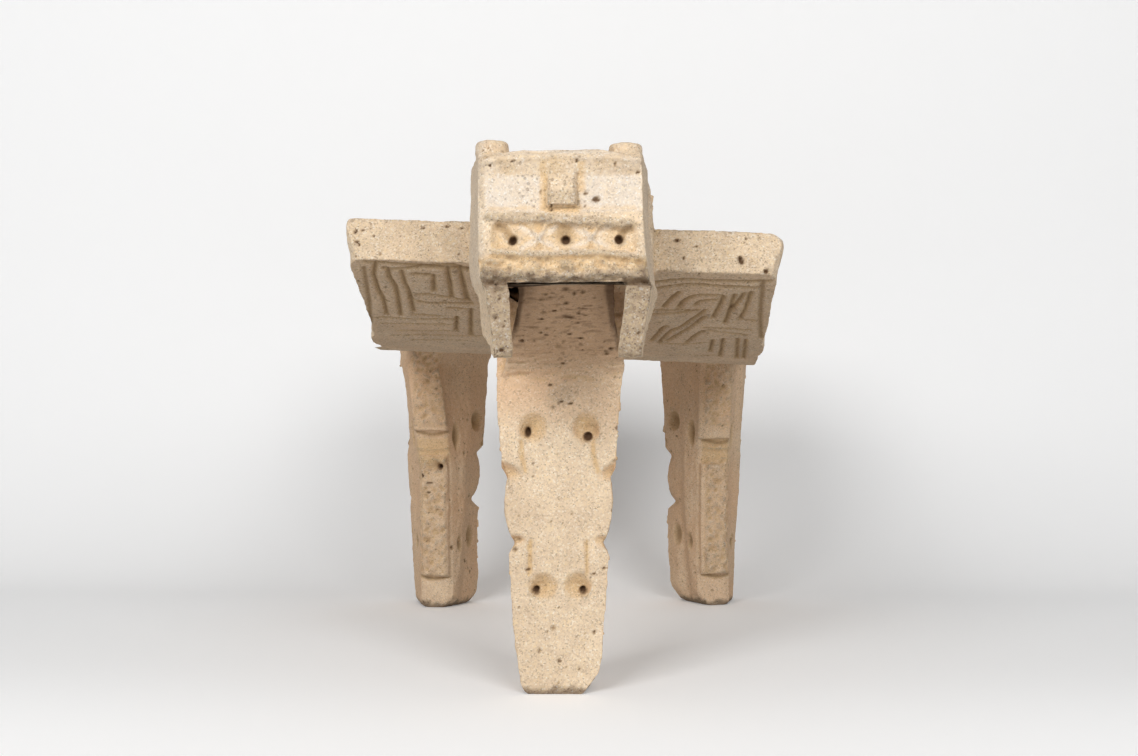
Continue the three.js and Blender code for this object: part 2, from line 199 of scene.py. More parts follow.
@dataclass(frozen=True)
class Place:
    """Where a member stands in the carving, and how it is turned.

    The carving's own frame has the front leg's outer face at y = 0, and its middle at x = 0.
    """

    origin: Triple = (0.0, 0.0, 0.0)
    turn: Triple = (0.0, 0.0, 0.0)  # degrees about X, then Y, then Z
    carving: Triple = (-2.2, -172.9, 0.0)  # the carving's frame in the whole part's

    def axes(self) -> np.ndarray:
        """The member's axes, one to a column."""
        x, y, z = (math.radians(angle) for angle in self.turn)
        turn = (
            Matrix.Rotation(x, 3, "X")
            @ Matrix.Rotation(y, 3, "Y")
            @ Matrix.Rotation(z, 3, "Z")
        )
        return np.array(turn)

    def read(self, points: np.ndarray) -> np.ndarray:
        """Points of the whole part, seen from the member's frame."""
        start = np.array(self.origin) + np.array(self.carving)
        return (points - start) @ self.axes()


class Stone:
    """The skin of the whole carving, which the members shape."""

    def __init__(self, mesh: bpy.types.Mesh) -> None:
        """Reads the skin from a mesh in metres."""
        self.mesh = mesh
        count = len(mesh.vertices)
        flat = np.empty(count * 3, np.float32)
        mesh.vertices.foreach_get("co", flat)
        self.places = flat.reshape(-1, 3).astype(float) / MM
        pairs = np.empty(len(mesh.edges) * 2, np.int32)
        mesh.edges.foreach_get("vertices", pairs)
        self.edges = pairs.reshape(-1, 2)
        self.degree = np.bincount(self.edges.ravel(), minlength=count).astype(float)
        self.masks = {mask: np.zeros(count) for mask in Mask}
        self.normals = np.zeros((count, 3))
        self.settle()

    def settle(self) -> None:
        """Writes the places back to the mesh, and reads the normals anew."""
        flat = np.ascontiguousarray(self.places * MM, np.float32).ravel()
        self.mesh.vertices.foreach_set("co", flat)
        self.mesh.update()
        found = np.empty(len(flat), np.float32)
        self.mesh.vertex_normals.foreach_get("vector", found)
        self.normals = found.reshape(-1, 3).astype(float)

    @staticmethod
    def means(values: np.ndarray, edges: np.ndarray, degree: np.ndarray) -> np.ndarray:
        """The mean of each point's neighbours.

        Args:
            values: A value or a row for each point.
            edges: The pairs of neighbours.
            degree: How many neighbours each point has.

        Returns:
            The means, in the values' shape.
        """
        a, b = edges[:, 0], edges[:, 1]
        count = len(degree)
        columns = [
            (np.bincount(a, column[b], count) + np.bincount(b, column[a], count)) / degree
            for column in values.reshape(count, -1).T
        ]
        return np.stack(columns, axis=1).reshape(values.shape)

    def relax(self, rounds: int, share: float = 0.5, where: np.ndarray | None = None) -> None:
        """Smooths the skin without shrinking it much.

        Args:
            rounds: How many times.
            share: How far a point goes towards its neighbours.
            where: How much each point takes part, or None for all alike.
        """
        edges, degree, names, part = self.edges, self.degree, slice(None), 1.0
        if where is not None:
            edges = edges[(where[edges] > 0).any(axis=1)]
            names, flat = np.unique(edges, return_inverse=True)
            edges, degree, part = flat.reshape(-1, 2), self.degree[names], where[names, None]
        spots = self.places[names]
        for _ in range(rounds):
            for step in (share, -share * 0.96):
                spots = spots + (self.means(spots, edges, degree) - spots) * step * part
        self.places[names] = spots
        self.settle()

    def swell(self, amount: np.ndarray | float) -> None:
        """Moves the skin along its own normals, outwards where the amount is above 0."""
        self.places += self.normals * np.reshape(amount, (-1, 1))

    def shave(
        self, place: Place, at: Triple, facing: Triple, where: np.ndarray, soft: float = 3.0
    ) -> None:
        """Shaves off what stands past a plane, and rounds the new edge.

        Args:
            place: The member whose frame the plane is in.
            at: A point of the plane.
            facing: Which way the plane faces.
            where: Which points take part.
            soft: How far the rounding reaches.
        """
        normal = np.array(facing) / np.linalg.norm(facing)
        past = (place.read(self.places) - np.array(at)) @ normal
        over = np.where(past > soft, past, np.clip(past + soft, 0, None) ** 2 / (4 * soft))
        self.places -= np.outer(over * where, place.axes() @ normal)

    def fill(self, panel: "Panel", centre: Pair, radius: float, where: np.ndarray) -> None:
        """Spans a pit with a smooth film from its rim, so that it can be cut anew.

        Args:
            panel: The side that the pit is in.
            centre: The pit's middle on the panel.
            radius: How far the film reaches.
            where: Which points may take part.
        """
        local = panel.place.read(self.places)
        u, v, w = (local @ np.array(axis, float) for axis in (panel.across, panel.up, panel.out))
        far = np.hypot(u - centre[0], v - centre[1])
        inner = np.flatnonzero(where & (far < radius) & (np.abs(w - panel.level + 8) < 14))
        order = np.full(len(far), -1)
        order[inner] = np.arange(len(inner))
        ends = self.edges[(order[self.edges] >= 0).any(axis=1)]
        pull = np.diag(self.degree[inner])
        fixed = np.zeros((len(inner), 3))
        for a, b in (ends.T, ends.T[::-1]):
            own = order[a] >= 0
            both = own & (order[b] >= 0)
            pull[order[a[both]], order[b[both]]] -= 1
            rim = own & (order[b] < 0)
            np.add.at(fixed, order[a[rim]], self.places[b[rim]])
        self.places[inner] = np.linalg.solve(pull, fixed)

    def bulge(self, rounds: int) -> np.ndarray:
        """How far each point stands out from the mean of what is around it, in millimetres."""
        mean = self.places
        for _ in range(rounds):
            mean = self.means(mean, self.edges, self.degree)
        return ((self.places - mean) * self.normals).sum(1)

    def mark(self, mask: Mask, index: np.ndarray, amount: np.ndarray) -> None:
        """Lays a finish over some points, never past 1."""
        kept = self.masks[mask]
        kept[index] = 1 - (1 - kept[index]) * (1 - np.clip(amount, 0, 1))


@dataclass(frozen=True)
class Panel:
    """One side of a member, on which it is carved."""

    place: Place
    across: Triple
    up: Triple
    out: Triple
    level: float = 0.0
    room: tuple[float, float, float, float] = (-200.0, 200.0, -300.0, 300.0)
    reach: float = 14.0
    facing: Pair = (0.35, 0.75)


class Patch:
    """The points of the skin that lie on a panel, ready to be cut."""

    def __init__(self, stone: Stone, panel: Panel, sag: float = 0.0) -> None:
        """Picks the points.

        Args:
            stone: The skin to carve.
            panel: The side to pick.
            sag: How much the panel's level rises at a distance of 1 along up, squared.
        """
        self.stone = stone
        local = panel.place.read(stone.places)
        axes = panel.place.axes()
        u, v, w = (local @ np.array(axis, float) for axis in (panel.across, panel.up, panel.out))
        self.out = axes @ np.array(panel.out, float)
        faces = stone.normals @ self.out
        low_u, high_u, low_v, high_v = panel.room
        depth = np.abs(w - panel.level - sag * v * v)
        inside = (u > low_u) & (u < high_u) & (v > low_v) & (v < high_v)
        inside &= (depth < panel.reach) & (faces > panel.facing[0])
        self.index = np.flatnonzero(inside)
        self.u, self.v = u[self.index], v[self.index]
        self.weight = ease(faces[self.index], *panel.facing)
        self.weight *= 1 - ease(depth[self.index], panel.reach * 0.7, panel.reach)

    def cut(self, depth: np.ndarray) -> None:
        """Cuts the panel to a depth at each of its points, and raises it where that is below 0."""
        self.stone.places[self.index] -= self.out * (depth * self.weight)[:, None]

    def stain(self, mask: Mask, amount: np.ndarray) -> None:
        """Lays a finish on the panel."""
        self.stone.mark(mask, self.index, amount * self.weight)

    def box(self, across: Pair, up: Pair, soft: float) -> np.ndarray:
        """How far each point is inside a box on the panel, from 0 to 1.

        Args:
            across: The box's sides.
            up: Its foot and its top.
            soft: How wide its soft rim is.

        Returns:
            A value for each point.
        """
        sides = ease(self.u, across[0] - soft / 2, across[0] + soft / 2)
        sides *= 1 - ease(self.u, across[1] - soft / 2, across[1] + soft / 2)
        ends = ease(self.v, up[0] - soft / 2, up[0] + soft / 2)
        return sides * ends * (1 - ease(self.v, up[1] - soft / 2, up[1] + soft / 2))

    def from_line(self, points: Sequence[Pair]) -> np.ndarray:
        """How far each point lies from a curve."""
        path = curved(points)
        nearest = np.full(len(self.index), 1e9)
        for a, b in zip(path, path[1:]):
            run = b - a
            along = ((self.u - a[0]) * run[0] + (self.v - a[1]) * run[1]) / max(
                run @ run, 1e-9
            )
            along = np.clip(along, 0, 1)
            du = self.u - a[0] - along * run[0]
            dv = self.v - a[1] - along * run[1]
            nearest = np.minimum(nearest, np.hypot(du, dv))
        return nearest

    def groove(
        self,
        points: Sequence[Pair],
        width: float,
        depth: float,
        stain: float = 0.5,
        soil: float = 0.3,
    ) -> None:
        """Cuts a round-bottomed groove along a curve.

        Args:
            points: Points of the curve.
            width: The groove's whole width.
            depth: How deep it is in its middle. Below 0 it is a ridge.
            stain: How yellow its floor is.
            soil: How dark its floor is.
        """
        t = np.clip(self.from_line(points) / (width / 2), 0, 1)
        shape = (1 - t * t) ** 2
        self.cut(shape * depth)
        self.stain(Mask.STAIN, shape * stain)
        self.stain(Mask.SOIL, shape * soil)

    def oval(self, centre: Pair, radii: Pair, tilt: float = 0.0) -> np.ndarray:
        """How far each point lies from an oval's middle, as a share of its radius."""
        c, s = math.cos(math.radians(tilt)), math.sin(math.radians(tilt))
        du, dv = self.u - centre[0], self.v - centre[1]
        return np.hypot((du * c + dv * s) / radii[0], (dv * c - du * s) / radii[1])

    def bowl(
        self,
        centre: Pair,
        radii: Pair,
        depth: float,
        tilt: float = 0.0,
        stain: float = 0.5,
        soil: float = 0.0,
    ) -> None:
        """Cuts a round or oval bowl.

        Args:
            centre: Its middle on the panel.
            radii: Its half width and half height.
            depth: How deep it is in the middle.
            tilt: How far it is turned, in degrees.
            stain: How yellow it is.
            soil: How dark it is.
        """
        t = np.clip(self.oval(centre, radii, tilt), 0, 1)
        shape = (1 - t**2) ** 1.3
        self.cut(shape * depth)
        self.stain(Mask.STAIN, np.sqrt(shape) * stain)
        self.stain(Mask.SOIL, shape * soil)

    def hole(self, centre: Pair, radii: Pair, depth: float, tilt: float = 0.0) -> None:
        """Bores a steep-sided hole, and darkens its inside with painted shade."""
        t = self.oval(centre, radii, tilt)
        shape = 1 - ease(t, 0.55, 1.05)
        self.cut(shape * depth)
        self.stain(Mask.SOIL, (1 - ease(t, 0.6, 1.15)))


# The members


@dataclass
class Plate:
    """The saddle-shaped grinding plate, with engraved panels under its two front wings."""

    place: Place = Place(origin=(0, 220, 219), turn=(0, 2.3, 0))
    half_length: float = 240.0
    rise: float = 54.0
    thickness: float = 26.0
    line_width: float = 5.8
    line_depth: float = 1.7
    border: tuple = ((127, -228), (131, -180), (137, -133))
    left_lines: tuple = (
        ((-125, -235), (-105, -234), (-90, -233), (-73, -235), (-59, -231)),
        ((-114, -227), (-102, -228), (-87, -231), (-74, -231), (-59, -229)),
        ((-119, -232), (-122, -217), (-122, -199), (-121, -179), (-123, -152)),
        ((-112, -225), (-112, -214), (-110, -202), (-111, -180), (-113, -153)),
        ((-103, -224), (-103, -208), (-102, -193), (-103, -162)),
        ((-96, -222), (-84, -221)),
        ((-83, -221), (-85, -198)),
        ((-73, -229), (-74, -191)),
        ((-65, -229), (-64, -186)),
        ((-98, -192), (-90, -192), (-77, -189), (-62, -183)),
        ((-103, -184), (-92, -179), (-61, -179)),
        ((-78, -171), (-63, -170)),
        ((-63, -170), (-68, -112)),
        ((-104, -157), (-84, -155)),
        ((-132, -146), (-104, -147), (-74, -149)),
        ((-74, -154), (-78, -119)),
        ((-128, -133), (-76, -137)),
        ((-119, -114), (-78, -120)),
        ((-124, -100), (-62, -110)),
        ((-113, -86), (-74, -91)),
    )
    right_lines: tuple = (
        ((59, -223), (76, -228), (100, -228), (131, -229)),
        ((59, -215), (77, -221), (91, -222), (104, -221), (117, -221), (125, -220)),
        ((66, -187), (70, -199), (75, -210)),
        ((76, -187), (80, -200), (88, -208), (102, -209)),
        ((87, -192), (90, -198), (100, -202)),
        ((100, -172), (103, -194), (104, -208)),
        ((109, -163), (110, -184), (111, -210)),
        ((111, -185), (115, -201), (117, -212)),
        ((121, -213), (120, -186), (118, -172)),
        ((59, -182), (74, -183), (82, -184)),
        ((60, -175), (79, -179), (89, -185)),
        ((118, -172), (128, -170)),
        ((96, -152), (115, -153), (127, -150)),
        ((99, -147), (120, -141), (126, -139)),
        ((61, -112), (67, -143), (70, -152)),
        ((67, -109), (73, -138), (83, -158), (94, -185)),
        ((72, -114), (84, -145), (95, -174)),
        ((86, -113), (91, -131), (96, -144)),
        ((68, -108), (86, -109), (99, -115)),
        ((104, -123), (105, -86)),
        ((111, -127), (114, -64)),
        ((121, -129), (127, -60)),
        ((127, -126), (132, -60)),
        ((70, -65), (92, -65), (108, -71)),
    )
    # Pores of the front end: across, up, half width, half height, tilt
    end_pores: tuple = (
        (-131.0, 65.1, 1.5, 1.2, 0),
        (-132.3, 71.8, 0.9, 1.7, -15),
        (-127.8, 72.8, 0.8, 1.1, 0),
        (-129.2, 63.2, 0.9, 0.9, 0),
        (-74.6, 77.1, 1.4, 0.9, 0),
        (-89.6, 75.8, 1.0, 0.9, 0),
        (-64.7, 76.3, 0.9, 0.8, 0),
        (-120.5, 69.3, 0.9, 0.8, 0),
        (111.8, 62.3, 1.8, 3.3, 20),
        (127.6, 55.9, 1.8, 1.7, 0),
        (71.7, 73.9, 1.7, 0.8, 0),
        (75.7, 62.5, 1.0, 0.9, 0),
        (114.9, 76.3, 0.9, 0.8, 0),
        (83.6, 70.2, 0.9, 0.6, 0),
    )

    def sag(self) -> float:
        """How much the plate rises at a distance of 1 from its middle, squared."""
        return self.rise / self.half_length**2

    def height(self, local: np.ndarray) -> np.ndarray:
        """How far points lie above the plate's underside."""
        return local[:, 2] - self.sag() * local[:, 1] ** 2

    def underside(self, stone: Stone) -> Patch:
        """The points of the plate's underside."""
        panel = Panel(self.place, (1, 0, 0), (0, 1, 0), (0, 0, -1), reach=6, facing=(0.5, 0.8))
        return Patch(stone, panel, sag=-self.sag())

    def grinding_face(self, stone: Stone) -> Patch:
        """The points of the top, where grain was ground."""
        panel = Panel(self.place, (1, 0, 0), (0, 1, 0), (0, 0, 1), self.thickness, reach=5)
        return Patch(stone, panel, sag=self.sag())

    def end_face(self, stone: Stone) -> Patch:
        """The points of the end that the head stands on."""
        room = (-150, 150, 50, 84)
        panel = Panel(self.place, (1, 0, 0), (0, 0, 1), (0, -1, 0), 236, room, 12, (0.4, 0.75))
        return Patch(stone, panel)

    def shape(self, stone: Stone) -> None:
        """Wears the plate's ends, a chipped corner and the hollow on top."""
        top = self.grinding_face(stone)
        hollow = (1 - np.clip(top.u / 150, -1, 1) ** 2) * (1 - np.clip(top.v / 235, -1, 1) ** 2)
        top.cut(2.0 * hollow - 1.6 * ease(-top.v, 190, 228))
        local = self.place.read(stone.places)
        x, y, _ = local.T
        above = self.height(local)
        low = 1 - ease(above, 4, self.thickness)
        ends = ease(np.abs(y), np.where(x < 0, 96, 150), np.where(x < 0, 160, 232))
        ends = ends * ease(np.abs(x), 100, 132) * (above > -2)
        push = -np.sign(x) * 3.4 * low * ends
        lump = ease(y, -98, -84) * (1 - ease(y, -66, -40)) * (x < -110)
        lump += ease(y, -118, -108) * (1 - ease(y, -96, -70)) * (x > 110) * 0.7
        push += np.sign(x) * 3.4 * lump * ease(np.abs(x), 112, 130) * (above > -2)
        stone.places += np.outer(push, self.place.axes()[:, 0])
        corner = ease(-y, 205, 225) * (np.abs(x) > 100)
        stone.shave(self.place, (136, -238, 76), (0.62, -0.2, 0.76), corner * (x > 0))
        stone.shave(self.place, (-137.5, -239.5, 78.0), (-0.62, -0.2, 0.76), corner * (x < 0), 4)
        stone.settle()
        corners = ease(np.abs(x), 132, 140) * ease(np.abs(y), 222, 234)
        stone.relax(24, where=corners)
        rims = ease(np.abs(y), 230, 237) * (np.abs(x) > 62) * (np.abs(y) < 260)
        stone.relax(5, where=rims)

    def carve(self, stone: Stone) -> None:
        """Engraves the underside and pits the front end."""
        under = self.underside(stone)
        for line in (*self.left_lines, *self.right_lines):
            under.groove(line, self.line_width, self.line_depth, stain=1.0, soil=0.36)
            under.groove(line, 2.2, 0.6, stain=0.6, soil=0.4)
            rear = [(x * 1.1, -y) for x, y in line]
            under.groove(rear, self.line_width, self.line_depth, stain=1.0, soil=0.30)
        for side in (-1, 1):
            for end in (-1, 1):
                edge = [(side * x, -end * y) for x, y in self.border]
                under.groove(edge, 5.0, 1.6, stain=0.7, soil=0.5)
        kept = 1 - stone.masks[Mask.STAIN][under.index]
        slow = lattice_noise(stone.places[under.index], 16.0, 53)
        under.stain(Mask.WEAR, (0.34 + 0.18 * slow) * kept * (np.abs(under.u) > 50))
        end = self.end_face(stone)
        lumps = lattice_noise(stone.places[end.index], 3.2, 51)
        end.cut(0.75 * lumps)
        end.stain(Mask.WEAR, 0.28 + 0.2 * lattice_noise(stone.places[end.index], 9.0, 52))
        for u, v, wide, high, tilt in self.end_pores:
            end.hole((u, v), (wide, high), 3.0, tilt)
        top = self.grinding_face(stone)
        top.stain(Mask.PALE, np.full(len(top.u), 0.35))


@dataclass
class Leg:
    """A tapering leg with a wide, scalloped outer face and a ribbed spine."""

    name: str
    place: Place
    member: Member
    seed: int = 1
    foot_half: float = 25.5
    top_half: float = 42.0
    spine_half: float = 14.5
    full_height: float = 219.0
    pores: tuple = ()
    inner_pores: tuple = ()
    ledge: float = 157.0
    drop: float = 0.0  # how much lower than the front leg's its scallops are cut
    rib_drop: float = 0.0  # how much lower its spine's upper block ends
    # How far the spine and the outer face's two edges stand aside of their solid: height, shift
    aside: tuple = ()

    def half(self, z: float) -> float:
        """Half the outer face's width at a height."""
        return self.foot_half + (self.top_half - self.foot_half) * z / self.full_height

    def outer(self) -> Panel:
        """The wide outer face."""
        return Panel(self.place, (1, 0, 0), (0, 0, 1), (0, -1, 0), room=(-60, 60, -5, 262), reach=6)

    def spine(self, stone: Stone) -> Patch:
        """The points of the ribbed inner face."""
        room = (-17, 17, -5, 250)
        panel = Panel(self.place, (1, 0, 0), (0, 0, 1), (0, 1, 0), 50, room, 12)
        return Patch(stone, panel)

    def side(self, side: int) -> tuple[Panel, float]:
        """One slanting side face.

        Args:
            side: -1 or 1, the side's place along X.

        Returns:
            The face, and where its outer edge lies across it at the upper pits' height.
        """
        half = self.half(158)
        run = np.array([-(half - self.spine_half), 47.5])
        run /= np.hypot(*run)
        along = (side * run[0], run[1], 0)
        out = (side * run[1], -run[0], 0)
        level = half * run[1]
        panel = Panel(self.place, along, (0, 0, 1), out, level, (-60, 90, -5, 250), 9)
        return panel, half * run[0]

    def shape(self, stone: Stone) -> None:
        """Sets the scallops' height and rounds the foot."""
        local = self.place.read(stone.places)
        x, y, z = local.T
        near = (np.abs(x) < 62) & (y > -12) & (y < 70)
        for x0, z0 in ((-19.5, 168), (19.5, 168), (-11, 70), (11, 70)):
            stone.fill(self.outer(), (x0, z0), 8.6, near)
        for side in (-1, 1):
            panel, edge = self.side(side)
            shift = self.half(60) / self.half(158)
            for inset, z0 in ((20, 158), (45.4, 158)):
                stone.fill(panel, (edge + inset, z0), 8.8, near & (y > 1))
            for inset, z0 in ((21.5, 60), (35.8, 60)):
                stone.fill(panel, (edge * shift + inset, z0), 8.0, near & (y > 1))
        stone.settle()
        outside = near * (1 - ease(y, 14, 30))
        inside = near * ease(y, 22, 34)
        stone.places[:, 2] -= self.rib_drop * inside * ease(z, 100, 140) * (1 - ease(z, 170, 205))
        stone.places[:, 2] -= self.drop * outside * ease(z, 20, 75) * (1 - ease(z, 165, 205))
        left, right = ease(-x, 4, 26), ease(x, 4, 26)
        for part, line in zip((inside, outside * left, outside * right), self.aside):
            heights, shifts = zip(*line)
            push = np.interp(z, heights, shifts) * (1 - ease(z, 212, 232)) * part
            stone.places += np.outer(push, self.place.axes()[:, 0])
        stone.settle()
        local = self.place.read(stone.places)
        x, y, z = local.T
        near = (np.abs(x) < 62) & (y > -12) & (y < 70)
        foot = near * (1 - ease(z, 18, 30))
        half = self.foot_half
        if self.member is Member.FRONT_LEG:
            stone.shave(self.place, (19.7, 4, 6.8), (0.75, -0.1, -0.65), foot, 3.0)
            stone.shave(self.place, (2 - half, 0, 3), (-0.7, -0.1, -0.7), foot, 2.5)
        else:
            for side in (-1, 1):
                stone.shave(self.place, (side * (half - 2), 4, 3), (side * 0.75, 0, -0.66), foot, 3)
                stone.shave(self.place, (side * 11, 38, 3), (side * 0.6, 0.3, -0.7), foot, 3)
        stone.shave(self.place, (0, 42, 3), (0, 0.75, -0.66), foot, 3.0)
        stone.shave(self.place, (0, 0, 2), (0, -0.8, -0.6), foot, 2.0)

    def carve(self, stone: Stone) -> None:
        """Cuts the bowls, holes and grooves of the outer face, the sides and the spine."""
        rng = np.random.default_rng(self.seed)
        face = Patch(stone, self.outer())
        for x, z, wide, high, depth, tilt in (
            (-17.4, 171.0, 9.8, 10.4, 5.2, -14),
            (16.9, 171.0, 9.2, 11.0, 5.2, 6),
            (-10.8, 69.3, 10.0, 9.0, 5.0, 0),
            (11.4, 69.6, 10.0, 9.2, 5.0, 0),
        ):
            face.bowl((x, z), (wide, high), depth, tilt, stain=0.85, soil=0.07)
            side = -1 if x < 0 else 1
            face.bowl((x + side * 3.0, z - 2.0), (wide * 0.6, high * 0.6), 1.6, tilt, 0.3, 0.12)
        for x, z, wide, high in (
            (-20.8, 168.2, 2.3, 4.0),
            (18.0, 165.2, 2.9, 2.9),
            (-15.4, 66.4, 2.4, 2.8),
            (14.8, 66.4, 2.8, 2.8),
        ):
            face.hole((x, z), (wide, high), 4.2)
        for line, width in (
            (((-25.0, 162), (-24.6, 153), (-22.0, 143)), 4.5),
            (((21.0, 162), (21.8, 153), (24.5, 143)), 4.5),
            (((-19.2, 98), (-19.6, 77)), 3.6),
            (((17.0, 98), (17.4, 77)), 3.6),
        ):
            face.groove(line, width, 1.5, stain=0.95, soil=0.05)
        for side in (-1, 1):
            face.bowl((side * 33.5, 143.0), (11.5, 5.5), 4.6, side * 28, stain=0.2, soil=0.1)
            face.bowl((side * 30.0, 98.0), (9.0, 4.2), 4.0, -side * 8, stain=0.2, soil=0.06)
        for x, z, wide, high, tilt in self.pores:
            face.hole((x, z), (wide, high), 2.6, tilt)
        z = face.v
        # Painted warm bounce light from the head's underside on the leg's top, stronger to the
        # left.
        face.stain(Mask.BLUSH, 0.75 * ease(z, 172, 200) * (1 - ease(face.u, -12, 14)))
        face.stain(Mask.BLUSH, 0.35 * ease(z, 160, 185))
        face.stain(Mask.WEAR, 0.5 * (1 - ease(face.oval((0, 192), (13, 10)), 0.3, 1)))
        for side in (-1, 1):
            panel, edge = self.side(side)
            flank = Patch(stone, panel)
            for height, inset, wide, high, depth in (
                (163, 15.0, 9.2, 10.4, 6.2),
                (153, 43.0, 5.0, 13.5, 3.4),
                (62, 15.0, 6.8, 11.5, 3.0),
                (58, 34.0, 4.0, 8.5, 1.8),
            ):
                start = edge * self.half(height) / self.half(158)
                spot = (start + inset + rng.uniform(-1, 1), height + rng.uniform(-2, 2))
                flank.bowl(spot, (wide, high), depth, stain=0.8, soil=0.5)
        every = np.arange(len(stone.places))
        local = self.place.read(stone.places)
        sole = (np.abs(local[:, 0]) < 62) & (local[:, 1] > -12) & (local[:, 1] < 62)
        lumps = lattice_noise(stone.places, 3.0, self.seed + 2)
        rim = sole * (1 - ease(local[:, 2] + 2.0 * lumps, 3.0, 7.0))
        stone.mark(Mask.WEAR, every, rim)
        stone.mark(Mask.SOIL, every, rim * 0.5)
        rib = self.spine(stone)
        blocks = rib.box((-15, 15), (161, 250), 2) + rib.box((-13, 13), (29, 133), 2)
        lumps = lattice_noise(stone.places[rib.index], 5.0, self.seed)
        lumps += 0.9 * lattice_noise(stone.places[rib.index], 2.8, self.seed + 1)
        blocks = np.clip(blocks, 0, 1)
        rib.cut((1.7 * lumps - 1.6) * blocks)
        rib.stain(Mask.SOIL, 0.14 * blocks * ease(lumps, 0.0, 0.9))
        rib.stain(Mask.STAIN, 0.3 * blocks * ease(lumps, -0.6, 0.6))
        rib.stain(Mask.WEAR, 0.12 * blocks * ease(-lumps, 0.1, 0.8))
        rib.groove(
            [(-15, self.ledge - 1), (0, self.ledge - 4.0), (15, self.ledge - 1)], 5, 2.2, 0.3, 0.35
        )
        rib.groove([(-14, 28), (0, 25.5), (14, 28)], 5, 1.8, 0.3, 0.35)
        rib.groove([(-15, 141), (0, 140), (15, 141)], 5, -1.6, 0.7, 0.0)
        for x, z, wide, high, depth in self.inner_pores:
            if wide > 5:
                rib.bowl((x, z), (wide, high), depth, stain=0.6, soil=0.25)
            else:
                rib.hole((x, z), (wide, high), depth)
        rib.stain(Mask.STAIN, 0.7 * rib.box((-16, 16), (128, 150), 4))


